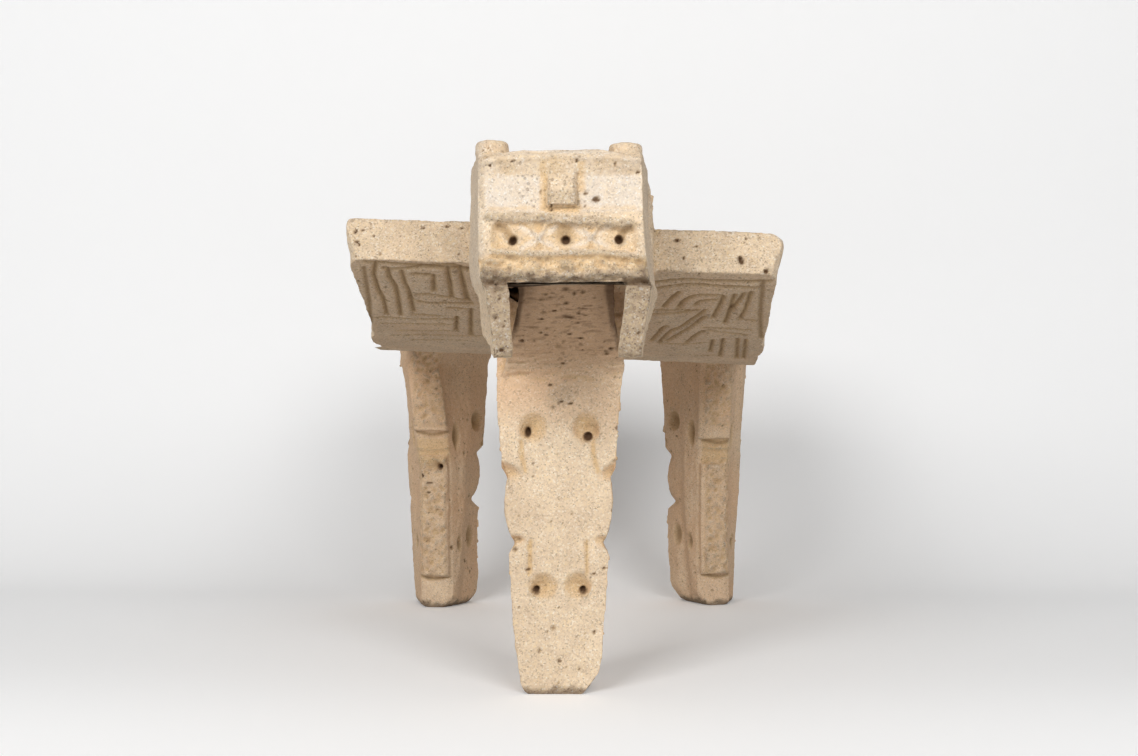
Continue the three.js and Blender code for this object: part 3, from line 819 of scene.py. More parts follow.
@dataclass
class Head:
    """The square head: brow, eye panels, nose, drilled mouth, worn lip and low ears."""

    place: Place = Place(origin=(2.5, 0, 268), turn=(0, -0.5, 2.1))
    reach: float = 110.0
    height: float = 65.0
    lip_drop: float = 11.0
    ear_step: float = 5.0
    face_pores: tuple = (
        (-42.1, 55.5, 0.9, 0.8),
        (-29.0, 57.9, 1.0, 0.8),
        (-4.0, 56.3, 0.8, 0.7),
        (7.4, 58.0, 1.1, 0.8),
        (28.7, 55.8, 0.9, 0.8),
        (42.0, 51.2, 0.9, 0.8),
        (18.2, 36.1, 2.5, 1.5),
        (12.2, 39.7, 0.9, 0.8),
        (12.1, 32.9, 0.8, 0.7),
        (-13.5, 40.5, 0.8, 0.7),
        (-7.6, 30.1, 0.9, 0.9),
        (-7.3, 32.6, 0.8, 0.9),
        (-41.9, 31.0, 0.8, 0.7),
        (-46.1, 32.4, 0.7, 0.7),
    )

    def face(self, stone: Stone, reach: float = 11.0) -> Patch:
        """The points of the face, from the lip to the forehead."""
        room = (-62, 62, -14, 66)
        panel = Panel(self.place, (1, 0, 0), (0, 0, 1), (0, -1, 0), 110, room, reach, (0.15, 0.5))
        return Patch(stone, panel)

    def shape(self, stone: Stone) -> None:
        """Spreads the jaw, narrows the crown and sets the right ear in."""
        local = self.place.read(stone.places)
        x, y, z = local.T
        before = ease(-y, 20.5, 27.0) * (z > -60) * (np.abs(x) < 66)
        side = np.clip(np.abs(x) / 50, 0, 1.1)
        left = np.interp(z, [-12, 3, 60], [-1.4, -3.2, -1.7])
        right = np.interp(z, [-10, 10, 30, 65], [1.5, -0.8, -2.3, -2.4])
        push = np.where(x < 0, left, right) * side * before * ease(z, -16, -9)
        crown = before * ease(z, self.height - 3, self.height + 2)
        push += (x > 15) * crown * (-self.ear_step - push)
        push += (x < -15) * crown * (-0.4 - push)
        up = 1.0 * before * ease(z, 52, 64)
        up -= 4.5 * before * ease(np.abs(x), 20, 48) * ease(-y, 89, 97) * ease(z, 54, 64)
        up -= 1.5 * before * ease(z, self.height + 1, self.height + 4) * (x > 0)
        stone.places += np.outer(up, self.place.axes()[:, 2])
        stone.places += np.outer(push, self.place.axes()[:, 0])
        stone.settle()
        base = ease(z, self.height - 3, self.height) * (
            1 - ease(z, self.height + 3, self.height + 5)
        )
        stone.relax(10, where=before * base * (np.abs(x) > 14) * (np.abs(x) < 40))
        stone.relax(14, where=before * ease(z, self.height, self.height + 2.5))
        jaw = before * (1 - ease(z, -6, 0)) * ease(z, -17, -12) * ease(np.abs(x), 38, 44)
        stone.relax(16, where=jaw)

    def relief(self, u: np.ndarray, v: np.ndarray) -> np.ndarray:
        """How far the carved face stands before or behind its own flat.

        Args:
            u: Places across the face.
            v: Places up the face.

        Returns:
            The relief, above 0 where it stands proud.
        """

        def ridge(middle: np.ndarray | float, half: float) -> np.ndarray:
            return np.clip(1 - ((v - middle) / half) ** 2, 0, 1) ** 1.5

        from_nose = np.abs(u + 1.3)
        nose_half = np.interp(v, [33, 59], [8.0, 7.4])
        nose = (1 - ease(from_nose, nose_half - 0.6, nose_half + 1.6)) * ease(v, 30.8, 33.6)
        hollow = 2.7 * ease(58.5 - v, 0, 9.5) * ease(v, 28.6, 31.6)
        hollow *= 1 - 0.45 * ease(np.abs(u), 39, 46)
        out = nose * 1.9 * ease(60 - v, 0, 24) - hollow * (1 - nose)
        brow = 60.0 - 2.2 * (np.abs(u) / 44) ** 3 + 1.2 * (1 - ease(from_nose, 5, 11))
        out += 1.2 * ridge(brow, 2.6)
        out -= 2.6 * ease(v, 62.0, 69.5)
        out -= 3.0 * ease(v, 66.0, 74.0)
        rounding = np.hypot(np.clip(np.abs(u) - 38, 0, None), np.clip(v - 55, 0, None)) / 12
        out -= 5.0 * np.clip(rounding - 0.2, 0, 1) ** 2
        top = np.interp(u, [-44, -8, 8, 38], [26.6, 25.4, 24.2, 21.8])
        low = np.interp(u, [-40, -19, 4, 19, 47], [7.3, 5.4, 6.0, 6.4, 2.5])
        floor = ease(v - low, 0.8, 3.4) * ease(top - v, 1.6, 4.6)
        floor *= 1 - ease(np.abs(u), 37.5, 42.5)
        out += 1.1 * ridge(top, 3.0) * (1 - ease(np.abs(u), 42, 46)) - 3.0 * floor
        out += 0.9 * ridge(low, 1.7) * (1 - ease(np.abs(u), 40, 45))
        for middle in (-14.7, 15.0):
            for slope in (-0.62, 0.62):
                from_bar = np.abs((u - middle) * 0.89 - slope * (v - 14.5) * 0.89)
                out += 1.5 * floor * (1 - ease(from_bar, 0.6, 2.2)) * (np.abs(u - middle) < 9)
        out -= 1.0 * ridge(low - 3.0, 1.6)
        out += 0.7 * ridge(-4.5, 5.0)
        out -= 6.5 * ease(-v, 5.5, 13) ** 1.3
        out -= 2.4 * np.clip((np.abs(u) - 43.0) / 6, 0, 1) ** 2
        return out

    def dress_face(self, stone: Stone) -> None:
        """Brings the whole front of the head to its relief, evens its skin and does it again."""
        for rounds in (8, 2, 0):
            local = self.place.read(stone.places)
            u, out, v = local[:, 0], -local[:, 1], local[:, 2]
            faces = stone.normals @ -self.place.axes()[:, 1]
            inner = (1 - ease(np.abs(u), 43, 45)) * ease(v, -8, -6) * (1 - ease(v, 58, 60))
            target = self.reach + self.relief(u, v)
            part = np.maximum(inner, ease(faces, 0.1, 0.4))
            part = np.maximum(part, out > target)
            part *= (out > 99) * (np.abs(u) < 55) * (v > -12.5) * (v < 71)
            stone.places -= np.outer((target - out) * part, self.place.axes()[:, 1])
            stone.settle()
            if rounds:
                stone.relax(rounds, where=part)

    def carve(self, stone: Stone) -> None:
        """Cuts the face, its lines, the mouth's pits and its stains, and paints light on the head's
        sides.
        """
        floor = Panel(self.place, (1, 0, 0), (0, 0, 1), (0, -1, 0), self.reach - 4)
        local = self.place.read(stone.places)
        near = (np.abs(local[:, 0]) < 50) & (local[:, 1] < -84)
        for across in (-30, 0, 30):
            stone.fill(floor, (across, 15.2), 8.2, near)
        stone.settle()
        self.dress_face(stone)
        face = self.face(stone)
        v = face.v
        sweep = [(-49.2, 57.0), (-42.4, 61.0), (-29.5, 62.6), (-19.7, 63.0), (-10.7, 62.2)]
        sweep += [(-3.9, 63.0), (1.4, 64.2), (8.9, 64.6), (19.5, 63.4), (27.0, 62.6)]
        face.groove(sweep, 2.4, 0.7, stain=0.25, soil=0.12)
        face.groove(
            [(-30, 64.4), (-18, 66.2), (-4, 66.4), (12, 66.8), (24, 66)], 2.2, 0.6, 0.2, 0.1
        )
        lumps = lattice_noise(stone.places[face.index], 2.6, 21)
        slow = lattice_noise(stone.places[face.index], 8.0, 24)
        band = face.box((-46, 46), (50.0, 60.0), 3.0)
        face.cut(0.55 * lumps * band)
        face.stain(Mask.STAIN, band * (0.32 + 0.4 * slow))
        face.stain(Mask.PALE, band * 0.4)
        face.stain(Mask.WEAR, band * (0.05 + 0.25 * ease(lumps + slow, 0.0, 0.9)))
        panels = face.box((-45, 44), (29.5, 50.5), 4.0) * (1 - face.box((-12, 9), (20, 60), 2))
        face.stain(Mask.PALE, panels * (0.84 + 0.3 * slow + 0.14 * lumps))
        face.stain(Mask.PALE, 0.7 * ease(v, 60.5, 63.0))
        for across, up in (((-14, -10), (30, 58)), ((8, 12), (40, 58)), ((-11, 9), (28.5, 32.5))):
            face.stain(Mask.STAIN, 0.75 * face.box(across, up, 2.0))
        face.stain(Mask.WEAR, 0.65 * face.box((-9.5, 8.5), (33, 41), 1.6))
        face.stain(Mask.WEAR, 0.12 * face.box((-9.5, 8.5), (41, 57), 1.6))
        # Painted light: the head's sides are paled, as the lamps light them less than its front.
        local = self.place.read(stone.places)
        flank = ease(np.abs(local[:, 0]), 44, 49) * (local[:, 1] < -24) * ease(local[:, 2], -16, -4)
        stone.mark(Mask.PALE, np.arange(len(flank)), 0.3 * flank)
        for x, z, wide, high in self.face_pores:
            face.hole((x, z), (wide, high), 2.2)
        self.mouth(stone)

    def mouth(self, stone: Stone) -> None:
        """Drills the mouth's pits, and stains the mouth, its ridges and the worn lip under it."""
        face = self.face(stone)
        v = face.v
        lumps = lattice_noise(stone.places[face.index], 3.0, 22)
        fine = lattice_noise(stone.places[face.index], 2.2, 23)
        inside = face.box((-42, 42), (7.5, 23.0), 2.0)
        cross = np.zeros(len(v))
        for middle in (-14.7, 15.0):
            for slope in (-0.62, 0.62):
                ends = [(middle + a, 14.5 + slope * a) for a in (-10, 10)]
                cross = np.maximum(cross, 1 - ease(face.from_line(ends), 0.8, 2.4))
        face.stain(Mask.STAIN, inside * (0.62 + 0.3 * lumps) * (1 - 0.8 * cross))
        face.stain(Mask.PALE, inside * (0.35 + 0.5 * cross))
        face.groove([(-37, 21.0), (-33, 18.5), (-29.6, 13)], 7.0, 1.8, stain=1.0, soil=0.46)
        face.bowl((0.2, 16.8), (6.5, 6.0), 1.8, stain=1.0, soil=0.46)
        face.groove([(37.0, 20.0), (33.8, 17.5), (31.2, 13)], 6.5, 1.6, stain=1.0, soil=0.44)
        for x, wide, high, tilt in (
            (-29.2, 2.3, 3.0, -25),
            (0.8, 2.9, 2.8, 0),
            (31.0, 2.4, 2.6, 20),
        ):
            face.hole((x, 13.2), (wide, high), 4.6, tilt)
        top = [(-43, 26.6), (-25, 26.4), (-8, 25.4), (8, 24.2), (25, 22.8), (38, 21.8)]
        near = 1 - ease(face.from_line(top), 2.0, 3.6)
        face.cut(0.6 * (lumps + fine) * near)
        face.stain(Mask.WEAR, near * (0.7 + 0.4 * fine))
        face.stain(Mask.SOIL, near * 0.25 * ease(lumps + fine, 0.1, 0.9))
        low = [(-41, 7.4), (-30, 6.4), (-18, 5.4), (-5, 5.6), (8, 6.1), (22, 6.3), (46, 2.6)]
        near = 1 - ease(face.from_line(low), 0.8, 2.2)
        face.stain(Mask.WEAR, near * (0.5 + 0.3 * fine))
        near = 1 - ease(face.from_line([(a, b - 3.0) for a, b in low]), 0.6, 2.2)
        face.stain(Mask.STAIN, near * 0.8)
        face.stain(Mask.SOIL, near * (0.22 + 0.3 * ease(lumps, 0, 0.7)))
        lip = face.box((-54, 54), (-16, 2.5), 2.5)
        coarse = lattice_noise(stone.places[face.index], 4.6, 25)
        face.cut((2.0 * coarse + 1.6 * lumps + 1.2 * fine) * lip)
        face.stain(Mask.STAIN, 0.65 * face.box((-52, 52), (-5, 3.5), 2.5))
        local = self.place.read(stone.places)
        x, y, z = local.T
        grit = lattice_noise(stone.places, 2.4, 26) + lattice_noise(stone.places, 4.0, 27)
        under = (y < -93) * (z > -17) * ease(-z, 0.5, 7.0) * (1 - ease(-z, 12.5, 16))
        every = np.arange(len(x))
        whole = (y < -93) * ease(z, -17, -12) * (1 - ease(z, 1, 4))
        stone.mark(Mask.SOIL, every, 0.3 * whole * ease(grit, 0.2, 0.8))
        stone.mark(Mask.WEAR, every, under * (0.75 + 0.5 * grit))
        stone.mark(Mask.SOIL, every, under * (0.10 + 0.32 * ease(grit, -0.1, 0.9)))
        for at in ((-42, -8), (47, -9)):
            corner = 1 - ease(face.oval(at, (13, 10)), 0.4, 1)
            face.stain(Mask.WEAR, corner * 0.9)
            face.stain(Mask.SOIL, corner * 0.22)


@dataclass
class Throat:
    """The keel under the head and the two bars beside it, with open pockets between them."""

    place: Place = Place(origin=(2.5, 0, 268), turn=(0, -0.5, 2.1))
    # Pores: across, up, half width, half height
    pores: tuple = (
        (0.6, -13.2, 2.2, 0.9),
        (5.6, -15.5, 1.2, 1.1),
        (10.9, -14.5, 1.0, 0.6),
        (0.8, -27.6, 2.6, 0.9),
        (4.0, -28.2, 2.0, 0.9),
        (8.4, -26.0, 1.3, 0.8),
        (8.3, -23.1, 1.0, 0.6),
        (-11.5, -38.3, 1.2, 0.5),
        (-14.8, -36.8, 1.0, 0.6),
        (3.3, -37.7, 1.2, 0.6),
        (10.0, -40.3, 1.4, 0.5),
        (0.9, -20.5, 1.6, 0.6),
        (-6.6, -24.6, 1.2, 0.6),
        (-14.0, -29.0, 1.0, 0.6),
        (-1.0, -55.6, 1.4, 0.7),
        (29.0, -46.7, 1.4, 0.7),
        (26.7, -49.9, 1.4, 0.7),
    )
    bar_pores: tuple = (
        (-37.5, -20.0, 1.0, 0.9),
        (-39.4, -30.6, 1.0, 0.9),
        (-35.5, -35.0, 1.0, 0.8),
        (-36.5, -49.0, 2.0, 1.0),
        (42.1, -39.6, 1.0, 1.0),
    )

    def keel(self, stone: Stone) -> Patch:
        """The points of the keel's sloping front."""
        room = (-36, 38, -70, -10)
        panel = Panel(self.place, (1, 0, 0), (0, 0, 1), (0, -1, 0), 45, room, 60, (0.05, 0.3))
        return Patch(stone, panel)

    def bars(self, stone: Stone) -> Patch:
        """The points of the bars' front faces."""
        room = (-60, 60, -58, -9)
        panel = Panel(self.place, (1, 0, 0), (0, 0, 1), (0, -1, 0), 108, room, 10, (0.2, 0.6))
        return Patch(stone, panel)

    def shape(self, stone: Stone) -> None:
        """Shapes the bars, and rounds the keel's lower end into the leg."""
        local = self.place.read(stone.places)
        x, y, z = local.T
        low = ease(-z, 11, 54)
        bars = (y < -16) * ease(-z, 8.5, 14) * (z > -62)
        edge = np.clip((np.abs(x) - 31) / 14, 0, 1)
        belly = np.exp(-(((z + 40) / 13) ** 2)) * (1 - ease(-y, 84, 104))
        left = (
            (2.6 + 1.5 * low) * (1 - edge) + (2.6 * low - 3.4 * belly) * edge
        ) * ease(-x, 23, 32)
        right = ((0.3 - 5.4 * low) * (1 - edge) + 3.6 * (1 - low) * edge) * ease(x, 23, 32)
        left, right = left * (x > -70), right * (x < 70)
        stone.places += np.outer((left + right) * bars, self.place.axes()[:, 0])
        stone.settle()
        seam = ease(-z, 2, 9) * (1 - ease(-z, 18, 26)) * (np.abs(x) > 36) * (y < -18) * (y > -104)
        stone.relax(22, where=seam)
        foot = (np.abs(x) < 45) & (z > -80) & (z < -40) & (y < 12) & (y > -60)
        stone.relax(24, where=foot * ease(-z, 44, 56) * ease(z, -80, -70) * 0.9)

    def carve(self, stone: Stone) -> None:
        """Streaks and pits the keel, and roughens the bars. Paints shade and warm bounce light on
        the keel under the head, and deep shade in the pockets.
        """
        keel = self.keel(stone)
        p = stone.places[keel.index] * np.array([0.35, 1.0, 1.0])
        streaks = lattice_noise(p, 2.6, 31) + 0.7 * lattice_noise(p, 1.6, 32)
        keel.cut(1.0 * streaks)
        # Painted shade and warm bounce light on the upper keel, which the head shades.
        under_head_shade = ease(keel.v, -66, -46)
        keel.stain(Mask.BLUSH, under_head_shade)
        keel.stain(Mask.SOIL, under_head_shade * (0.27 + 0.30 * ease(streaks, 0.2, 1.2)))
        # The keel's pores are darkened with painted shade.
        rng = np.random.default_rng(34)
        for x, z in zip(rng.normal(1, 14, 80), rng.uniform(-54, -12, 80)):
            keel.bowl(
                (x, z), (rng.uniform(0.9, 1.6), rng.uniform(0.7, 0.9)), 1.0, stain=0, soil=0.4
            )
        for x, z, wide, high in self.pores:
            keel.bowl((x, z), (wide * 1.3, high * 1.5), 2.4, stain=0, soil=0.85)
        keel.stain(Mask.BLUSH, 1 - ease(keel.oval((-1.9, -41), (6, 2.5)), 0.5, 1))
        bars = self.bars(stone)
        lumps = lattice_noise(stone.places[bars.index], 2.6, 33)
        bars.cut(0.9 * lumps)
        bars.stain(Mask.WEAR, 0.95 + 0.3 * lumps)
        bars.stain(Mask.SOIL, 0.2 * ease(lumps, 0, 0.8) + 0.24)
        for x, z, wide, high in self.bar_pores:
            bars.hole((x, z), (wide, high), 2.4)
        local = self.place.read(stone.places)
        x, y, z = local.T
        # Painted deep shade and warm bounce light in the pockets between the keel and the bars.
        pocket = (z < -1) & (np.abs(x) < 37) & (np.abs(x) > 12) & (y > -101) & (y < -14)
        facing = stone.normals @ self.place.axes()
        turned = np.maximum(np.abs(facing[:, 0]), -0.5 * facing[:, 2])
        deep = ease(np.abs(x), 14, 24) * ease(z, -58, -14) * ease(turned, 0.1, 0.5)
        every = np.arange(len(x))
        stone.mark(Mask.SOIL, every, 0.25 * pocket * deep)
        inner = np.interp(-z, [14, 40], [23.5, 29.5])
        dark = ease(np.abs(x) - inner, -1, 1) * (np.abs(x) < 37) * (y > -101) * (y < -10)
        stone.mark(Mask.SOIL, every, 0.8 * dark * ease(-z, 4, 12) * (1 - ease(-z, 30, 42)))
        stone.mark(Mask.BLUSH, every, pocket * ease(np.abs(x), 12, 20))


# Parting the stone


@dataclass
class Carving:
    """The whole stone: its members, its skin, and how the skin is parted again."""

    grain: float = 1.2
    quick_grain: float = 2.4
    joint: float = 0.35  # more than half the room between two members
    plate: Plate = field(default_factory=Plate)
    head: Head = field(default_factory=Head)
    throat: Throat = field(default_factory=Throat)
    pores: "Pores" = field(default_factory=lambda: Pores())
    legs: tuple[Leg, ...] = (
        Leg(
            "front_leg",
            Place(),
            Member.FRONT_LEG,
            11,
            pores=(
                (0.2, 187.4, 2.2, 0.8, 14),
                (6.6, 186.6, 1.8, 0.9, 22),
                (-8.8, 186.1, 0.8, 0.8, 0),
                (-20.5, 79.8, 1.1, 1.0, 0),
                (21.8, 77.4, 1.2, 0.9, 0),
                (28.2, 81.2, 1.2, 0.8, 0),
                (-0.6, 21.5, 2.0, 0.8, -10),
                (-6.4, 198.5, 1.3, 0.8, 25),
                (22.0, 40.0, 0.9, 1.2, 0),
            ),
            aside=(((0, 0.0),), ((10, 0.0), (40, -1.6), (185, -1.6), (212, 0.0)), ((0, 0.0),)),
        ),
        Leg(
            "left_rear_leg",
            Place((-117.5, 390, 0), (0, 0, 172)),
            Member.LEFT_REAR_LEG,
            12,
            drop=4.0,
            aside=(
                ((0, -2.5), (125, -2.5), (150, 0.0), (170, 1.5), (215, 7.0)),
                ((0, -2.2), (25, -2.2), (60, 1.0), (90, 2.2), (210, 2.6)),
                ((0, 2.0), (60, 1.0), (110, 0.0), (138, 0.0), (150, -3.6), (190, -3.4), (215, 0.0)),
            ),
            inner_pores=(
                (-3.2, 126.5, 9.0, 5.5, 3.4),
                (-7.8, 125.2, 2.6, 2.4, 7.0),
                (7.9, 117.1, 1.5, 1.5, 3.0),
                (1.2, 111.0, 3.2, 0.9, 2.0),
                (2.4, 102.5, 2.0, 1.2, 1.4),
            ),
        ),
        Leg(
            "right_rear_leg",
            Place((119.5, 410, 0), (0, 0, 192)),
            Member.RIGHT_REAR_LEG,
            13,
            drop=7.0,
            rib_drop=8.0,
            ledge=149.0,
            aside=(
                ((0, 3.0), (60, 5.6), (140, 5.6), (210, 4.8)),
                ((0, 0.0), (30, 0.6), (60, 4.2), (150, 4.2), (200, 2.7)),
                ((0, 5.4), (40, 5.4), (95, 2.4), (130, 0.6), (200, 0.0)),
            ),
        ),
    )

    def rough_block(self) -> bpy.types.Mesh:
        """Joins the members' solids into one rough block with a skin of even grain.

        Returns:
            The block's mesh, in metres.
        """
        block = bmesh.new()
        for name in sorted(set(CAD_NODE.values())):
            part = bmesh.new()
            part.from_mesh(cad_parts[name].data)
            bmesh.ops.remove_doubles(part, verts=part.verts, dist=0.01 * MM)
            part.normal_update()
            for vert in part.verts:
                vert.co += vert.normal * self.joint * MM
            solid = bpy.data.meshes.new(name + "_solid")
            part.to_mesh(solid)
            part.free()
            block.from_mesh(solid)
        mesh = bpy.data.meshes.new("rough_block")
        block.to_mesh(mesh)
        block.free()
        holder = bpy.data.objects.new("rough_block", mesh)
        bpy.context.scene.collection.objects.link(holder)
        remesh = holder.modifiers.new("even_grain", "REMESH")
        remesh.mode = "VOXEL"
        remesh.voxel_size = self.grain * MM
        shaped = holder.evaluated_get(bpy.context.evaluated_depsgraph_get())
        skin = bpy.data.meshes.new_from_object(shaped)
        bpy.data.objects.remove(holder)
        self.drop_bubbles(skin)
        return skin

    @staticmethod
    def drop_bubbles(mesh: bpy.types.Mesh) -> None:
        """Removes closed pockets inside the block, and keeps its one outer skin."""
        skin = bmesh.new()
        skin.from_mesh(mesh)
        pairs = np.empty(len(mesh.edges) * 2, np.int32)
        mesh.edges.foreach_get("vertices", pairs)
        pairs = pairs.reshape(-1, 2)
        shell = np.arange(len(mesh.vertices))
        while True:
            least = np.minimum(shell[pairs[:, 0]], shell[pairs[:, 1]])
            fresh = shell.copy()
            np.minimum.at(fresh, pairs[:, 0], least)
            np.minimum.at(fresh, pairs[:, 1], least)
            fresh = fresh[fresh]
            if (fresh == shell).all():
                break
            shell = fresh
        names, counts = np.unique(shell, return_counts=True)
        outer = names[counts.argmax()]
        skin.verts.ensure_lookup_table()
        inner = [skin.verts[i] for i in np.flatnonzero(shell != outer)]
        bmesh.ops.delete(skin, geom=inner, context="VERTS")
        skin.to_mesh(mesh)
        skin.free()

    def sort_faces(self, stone: Stone) -> np.ndarray:
        """Says which member each face of the skin belongs to.

        Returns:
            A Member's number for each face.
        """
        mesh = stone.mesh
        centres = np.empty(len(mesh.polygons) * 3, np.float32)
        mesh.polygons.foreach_get("center", centres)
        places = centres.reshape(-1, 3).astype(float) / MM
        on_plate = self.plate.place.read(places)
        on_head = self.head.place.read(places)
        carving = Place().read(places)
        above = self.plate.height(on_plate)
        x, y, z = on_head.T
        reach = -y
        half = np.interp(reach, [20, 110], [57, 47])
        found = np.full(len(places), int(Member.PLATE_MIDDLE))
        found[on_plate[:, 1] < -85] = Member.PLATE_FRONT
        found[on_plate[:, 1] > 85] = Member.PLATE_REAR
        below = above < -3.6
        found[below & (carving[:, 1] < 180)] = Member.FRONT_LEG
        found[below & (carving[:, 1] >= 180) & (carving[:, 0] < 0)] = Member.LEFT_REAR_LEG
        found[below & (carving[:, 1] >= 180) & (carving[:, 0] >= 0)] = Member.RIGHT_REAR_LEG
        before = on_plate[:, 1] < -self.plate.half_length - 4.0
        nape = (above > self.plate.thickness + 3) & (on_plate[:, 1] < -200) & (np.abs(x) < 70)
        lip = (reach > 86) & (z > -self.head.lip_drop - 0.5)
        found[(before & ((z > -3.2) | lip)) | nape] = Member.HEAD
        hanging = (carving[:, 1] < -3.0) & (z < -3.2) & (before | below) & ~lip & (np.abs(x) < 70)
        found[hanging] = Member.THROAT
        found[hanging & (x < -(half - 14.6))] = Member.LEFT_CHEEK
        found[hanging & (x > half - 14.6)] = Member.RIGHT_CHEEK
        ears = (z > self.head.height + 3.2) & before
        found[ears & (x < 0)] = Member.LEFT_EAR
        found[ears & (x >= 0)] = Member.RIGHT_EAR
        return found

    @staticmethod
    def tidy_joints(mesh: bpy.types.Mesh, found: np.ndarray) -> np.ndarray:
        """Smooths the joints, so that no member touches itself at a single point.

        Args:
            mesh: The skin.
            found: The member of each face.

        Returns:
            The members, with a few faces at the joints given to a neighbour.
        """
        corners = np.empty(len(mesh.loops), np.int32)
        sides = np.empty(len(mesh.loops), np.int32)
        mesh.loops.foreach_get("vertex_index", corners)
        mesh.loops.foreach_get("edge_index", sides)
        sizes = np.empty(len(mesh.polygons), np.int32)
        mesh.polygons.foreach_get("loop_total", sizes)
        owner = np.repeat(np.arange(len(sizes)), sizes)
        order = np.argsort(sides, kind="stable")
        faces = owner[order].reshape(-1, 2)
        ends = np.empty(len(mesh.edges) * 2, np.int32)
        mesh.edges.foreach_get("vertices", ends)
        ends = ends.reshape(-1, 2)
        kinds = len(Member)
        for _ in range(12):
            kind = found[faces]
            rim = kind[:, 0] != kind[:, 1]
            keys = (ends[rim][:, :, None] * kinds + kind[rim][:, None, :]).ravel()
            seen, counts = np.unique(keys, return_counts=True)
            pinched = seen[counts > 2]
            if not len(pinched):
                break
            takes = np.full(len(mesh.vertices), -1)
            takes[pinched // kinds] = pinched % kinds
            fresh = takes[corners]
            given = fresh >= 0
            found[owner[given]] = fresh[given]
        return found

    def part(self, stone: Stone) -> dict[Member, bpy.types.Object]:
        """Parts the skin into its members and closes each one.

        Returns:
            The members' objects.
        """
        mesh = stone.mesh
        for mask, values in stone.masks.items():
            layer = mesh.attributes.new(mask.value, "FLOAT", "POINT")
            layer.data.foreach_set("value", np.ascontiguousarray(values, np.float32))
        kept = mesh.attributes.new("skin_normal", "FLOAT_VECTOR", "POINT")
        kept.data.foreach_set("vector", np.ascontiguousarray(stone.normals, np.float32).ravel())
        found = self.tidy_joints(mesh, self.sort_faces(stone)).astype(np.int32)
        mesh.attributes.new("member", "INT", "FACE").data.foreach_set("value", found)
        for _ in Member:
            mesh.materials.append(None)
        mesh.polygons.foreach_set("material_index", found)
        whole = bpy.data.objects.new("whole_stone", mesh)
        bpy.context.scene.collection.objects.link(whole)
        bpy.ops.object.select_all(action="DESELECT")
        bpy.context.view_layer.objects.active = whole
        whole.select_set(True)
        bpy.ops.object.mode_set(mode="EDIT")
        bpy.ops.mesh.select_all(action="SELECT")
        bpy.ops.mesh.separate(type="MATERIAL")
        bpy.ops.object.mode_set(mode="OBJECT")
        members = {}
        for piece in list(bpy.context.selected_objects):
            layer = piece.data.attributes["member"]
            member = Member(layer.data[0].value)
            piece.data.attributes.remove(layer)
            piece.name = piece.data.name = member.name.lower()
            self.close(piece.data)
            members[member] = piece
        return members

    @staticmethod
    def close(mesh: bpy.types.Mesh, inset: float = 0.5) -> None:
        """Closes a member where it was parted from its neighbours.

        Args:
            mesh: The member's open skin.
            inset: How far under the skin the flat of the joint begins.
        """
        bm = bmesh.new()
        bm.from_mesh(mesh)
        for face in bm.faces:
            face.smooth = True
            face.material_index = 0
        rim = [edge for edge in bm.edges if edge.is_boundary]
        inwards = {v.co.copy().freeze(): -v.normal for edge in rim for v in edge.verts}
        skirt = bmesh.ops.extrude_edge_only(bm, edges=rim)["geom"]
        for vert in (item for item in skirt if isinstance(item, bmesh.types.BMVert)):
            vert.co += inwards[vert.co.copy().freeze()] * inset * MM
        rim = [edge for edge in bm.edges if edge.is_boundary]
        caps = bmesh.ops.holes_fill(bm, edges=rim, sides=0)["faces"]
        bmesh.ops.triangulate(bm, faces=caps)
        bmesh.ops.recalc_face_normals(bm, faces=bm.faces)
        open_edges = sum(1 for edge in bm.edges if not edge.is_manifold)
        log.info("%s closed, %d caps, %d open edges", mesh.name, len(caps), open_edges)
        bm.to_mesh(mesh)
        bm.free()
        mesh.materials.clear()
        layer = mesh.attributes["skin_normal"]
        normals = np.empty(len(mesh.vertices) * 3, np.float32)
        layer.data.foreach_get("vector", normals)
        mesh.attributes.remove(layer)
        mesh.normals_split_custom_set_from_vertices(normals.reshape(-1, 3).tolist())

    def make(self) -> dict[Member, bpy.types.Object]:
        """Builds the stone and parts it.

        Returns:
            The members' objects.
        """
        packed = np.array([list(corner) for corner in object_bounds()]) / MM
        stone = Stone(self.rough_block())
        log.info("skin of %d points", len(stone.places))
        stone.swell(-self.joint)
        stone.settle()
        stone.relax(5)
        self.wear_down(stone)
        members = (self.plate, *self.legs, self.throat, self.head)
        for member in members:
            member.shape(stone)
            stone.settle()
        stone.relax(2)
        for member in members:
            member.carve(stone)
            stone.settle()
        self.pores.bore(stone)
        self.weather(stone)
        stone.places[:, 2] -= 1.5 * (1 - ease(stone.places[:, 2], 1.0, 11))
        stone.places = np.clip(stone.places, packed[0], packed[1])
        stone.settle()
        return self.part(stone)

    def wear_down(self, stone: Stone) -> None:
        """Rounds the corners between the plate and the legs, and lets the flats waver."""
        above = self.plate.height(self.plate.place.read(stone.places))
        carving = Place().read(stone.places)
        seat = ease(above, -17, -6) * (1 - ease(above, 1, 6)) * (carving[:, 1] > 8)
        stone.relax(16, where=seat)
        flare = np.clip(1 + above / 24, 0, 1) ** 2.4 * (above < 0) * (carving[:, 1] > 180)
        flare *= np.where(carving[:, 0] < 0, 2.0, 1.0)
        flare += (
            1.6 * np.clip(1 + above / 10, 0, 1) ** 2 * (above < 1)
            * (carving[:, 1] > 180) * (carving[:, 0] < 0)
        )
        sideways = stone.normals * np.array([1, 1, 0])
        stone.places += sideways * (4.2 * flare)[:, None]
        stone.settle()
        slow = (
            0.55 * lattice_noise(stone.places, 46, 41)
            + 0.3 * lattice_noise(stone.places, 21, 42)
        )
        stone.swell(slow - 0.3)
        stone.settle()

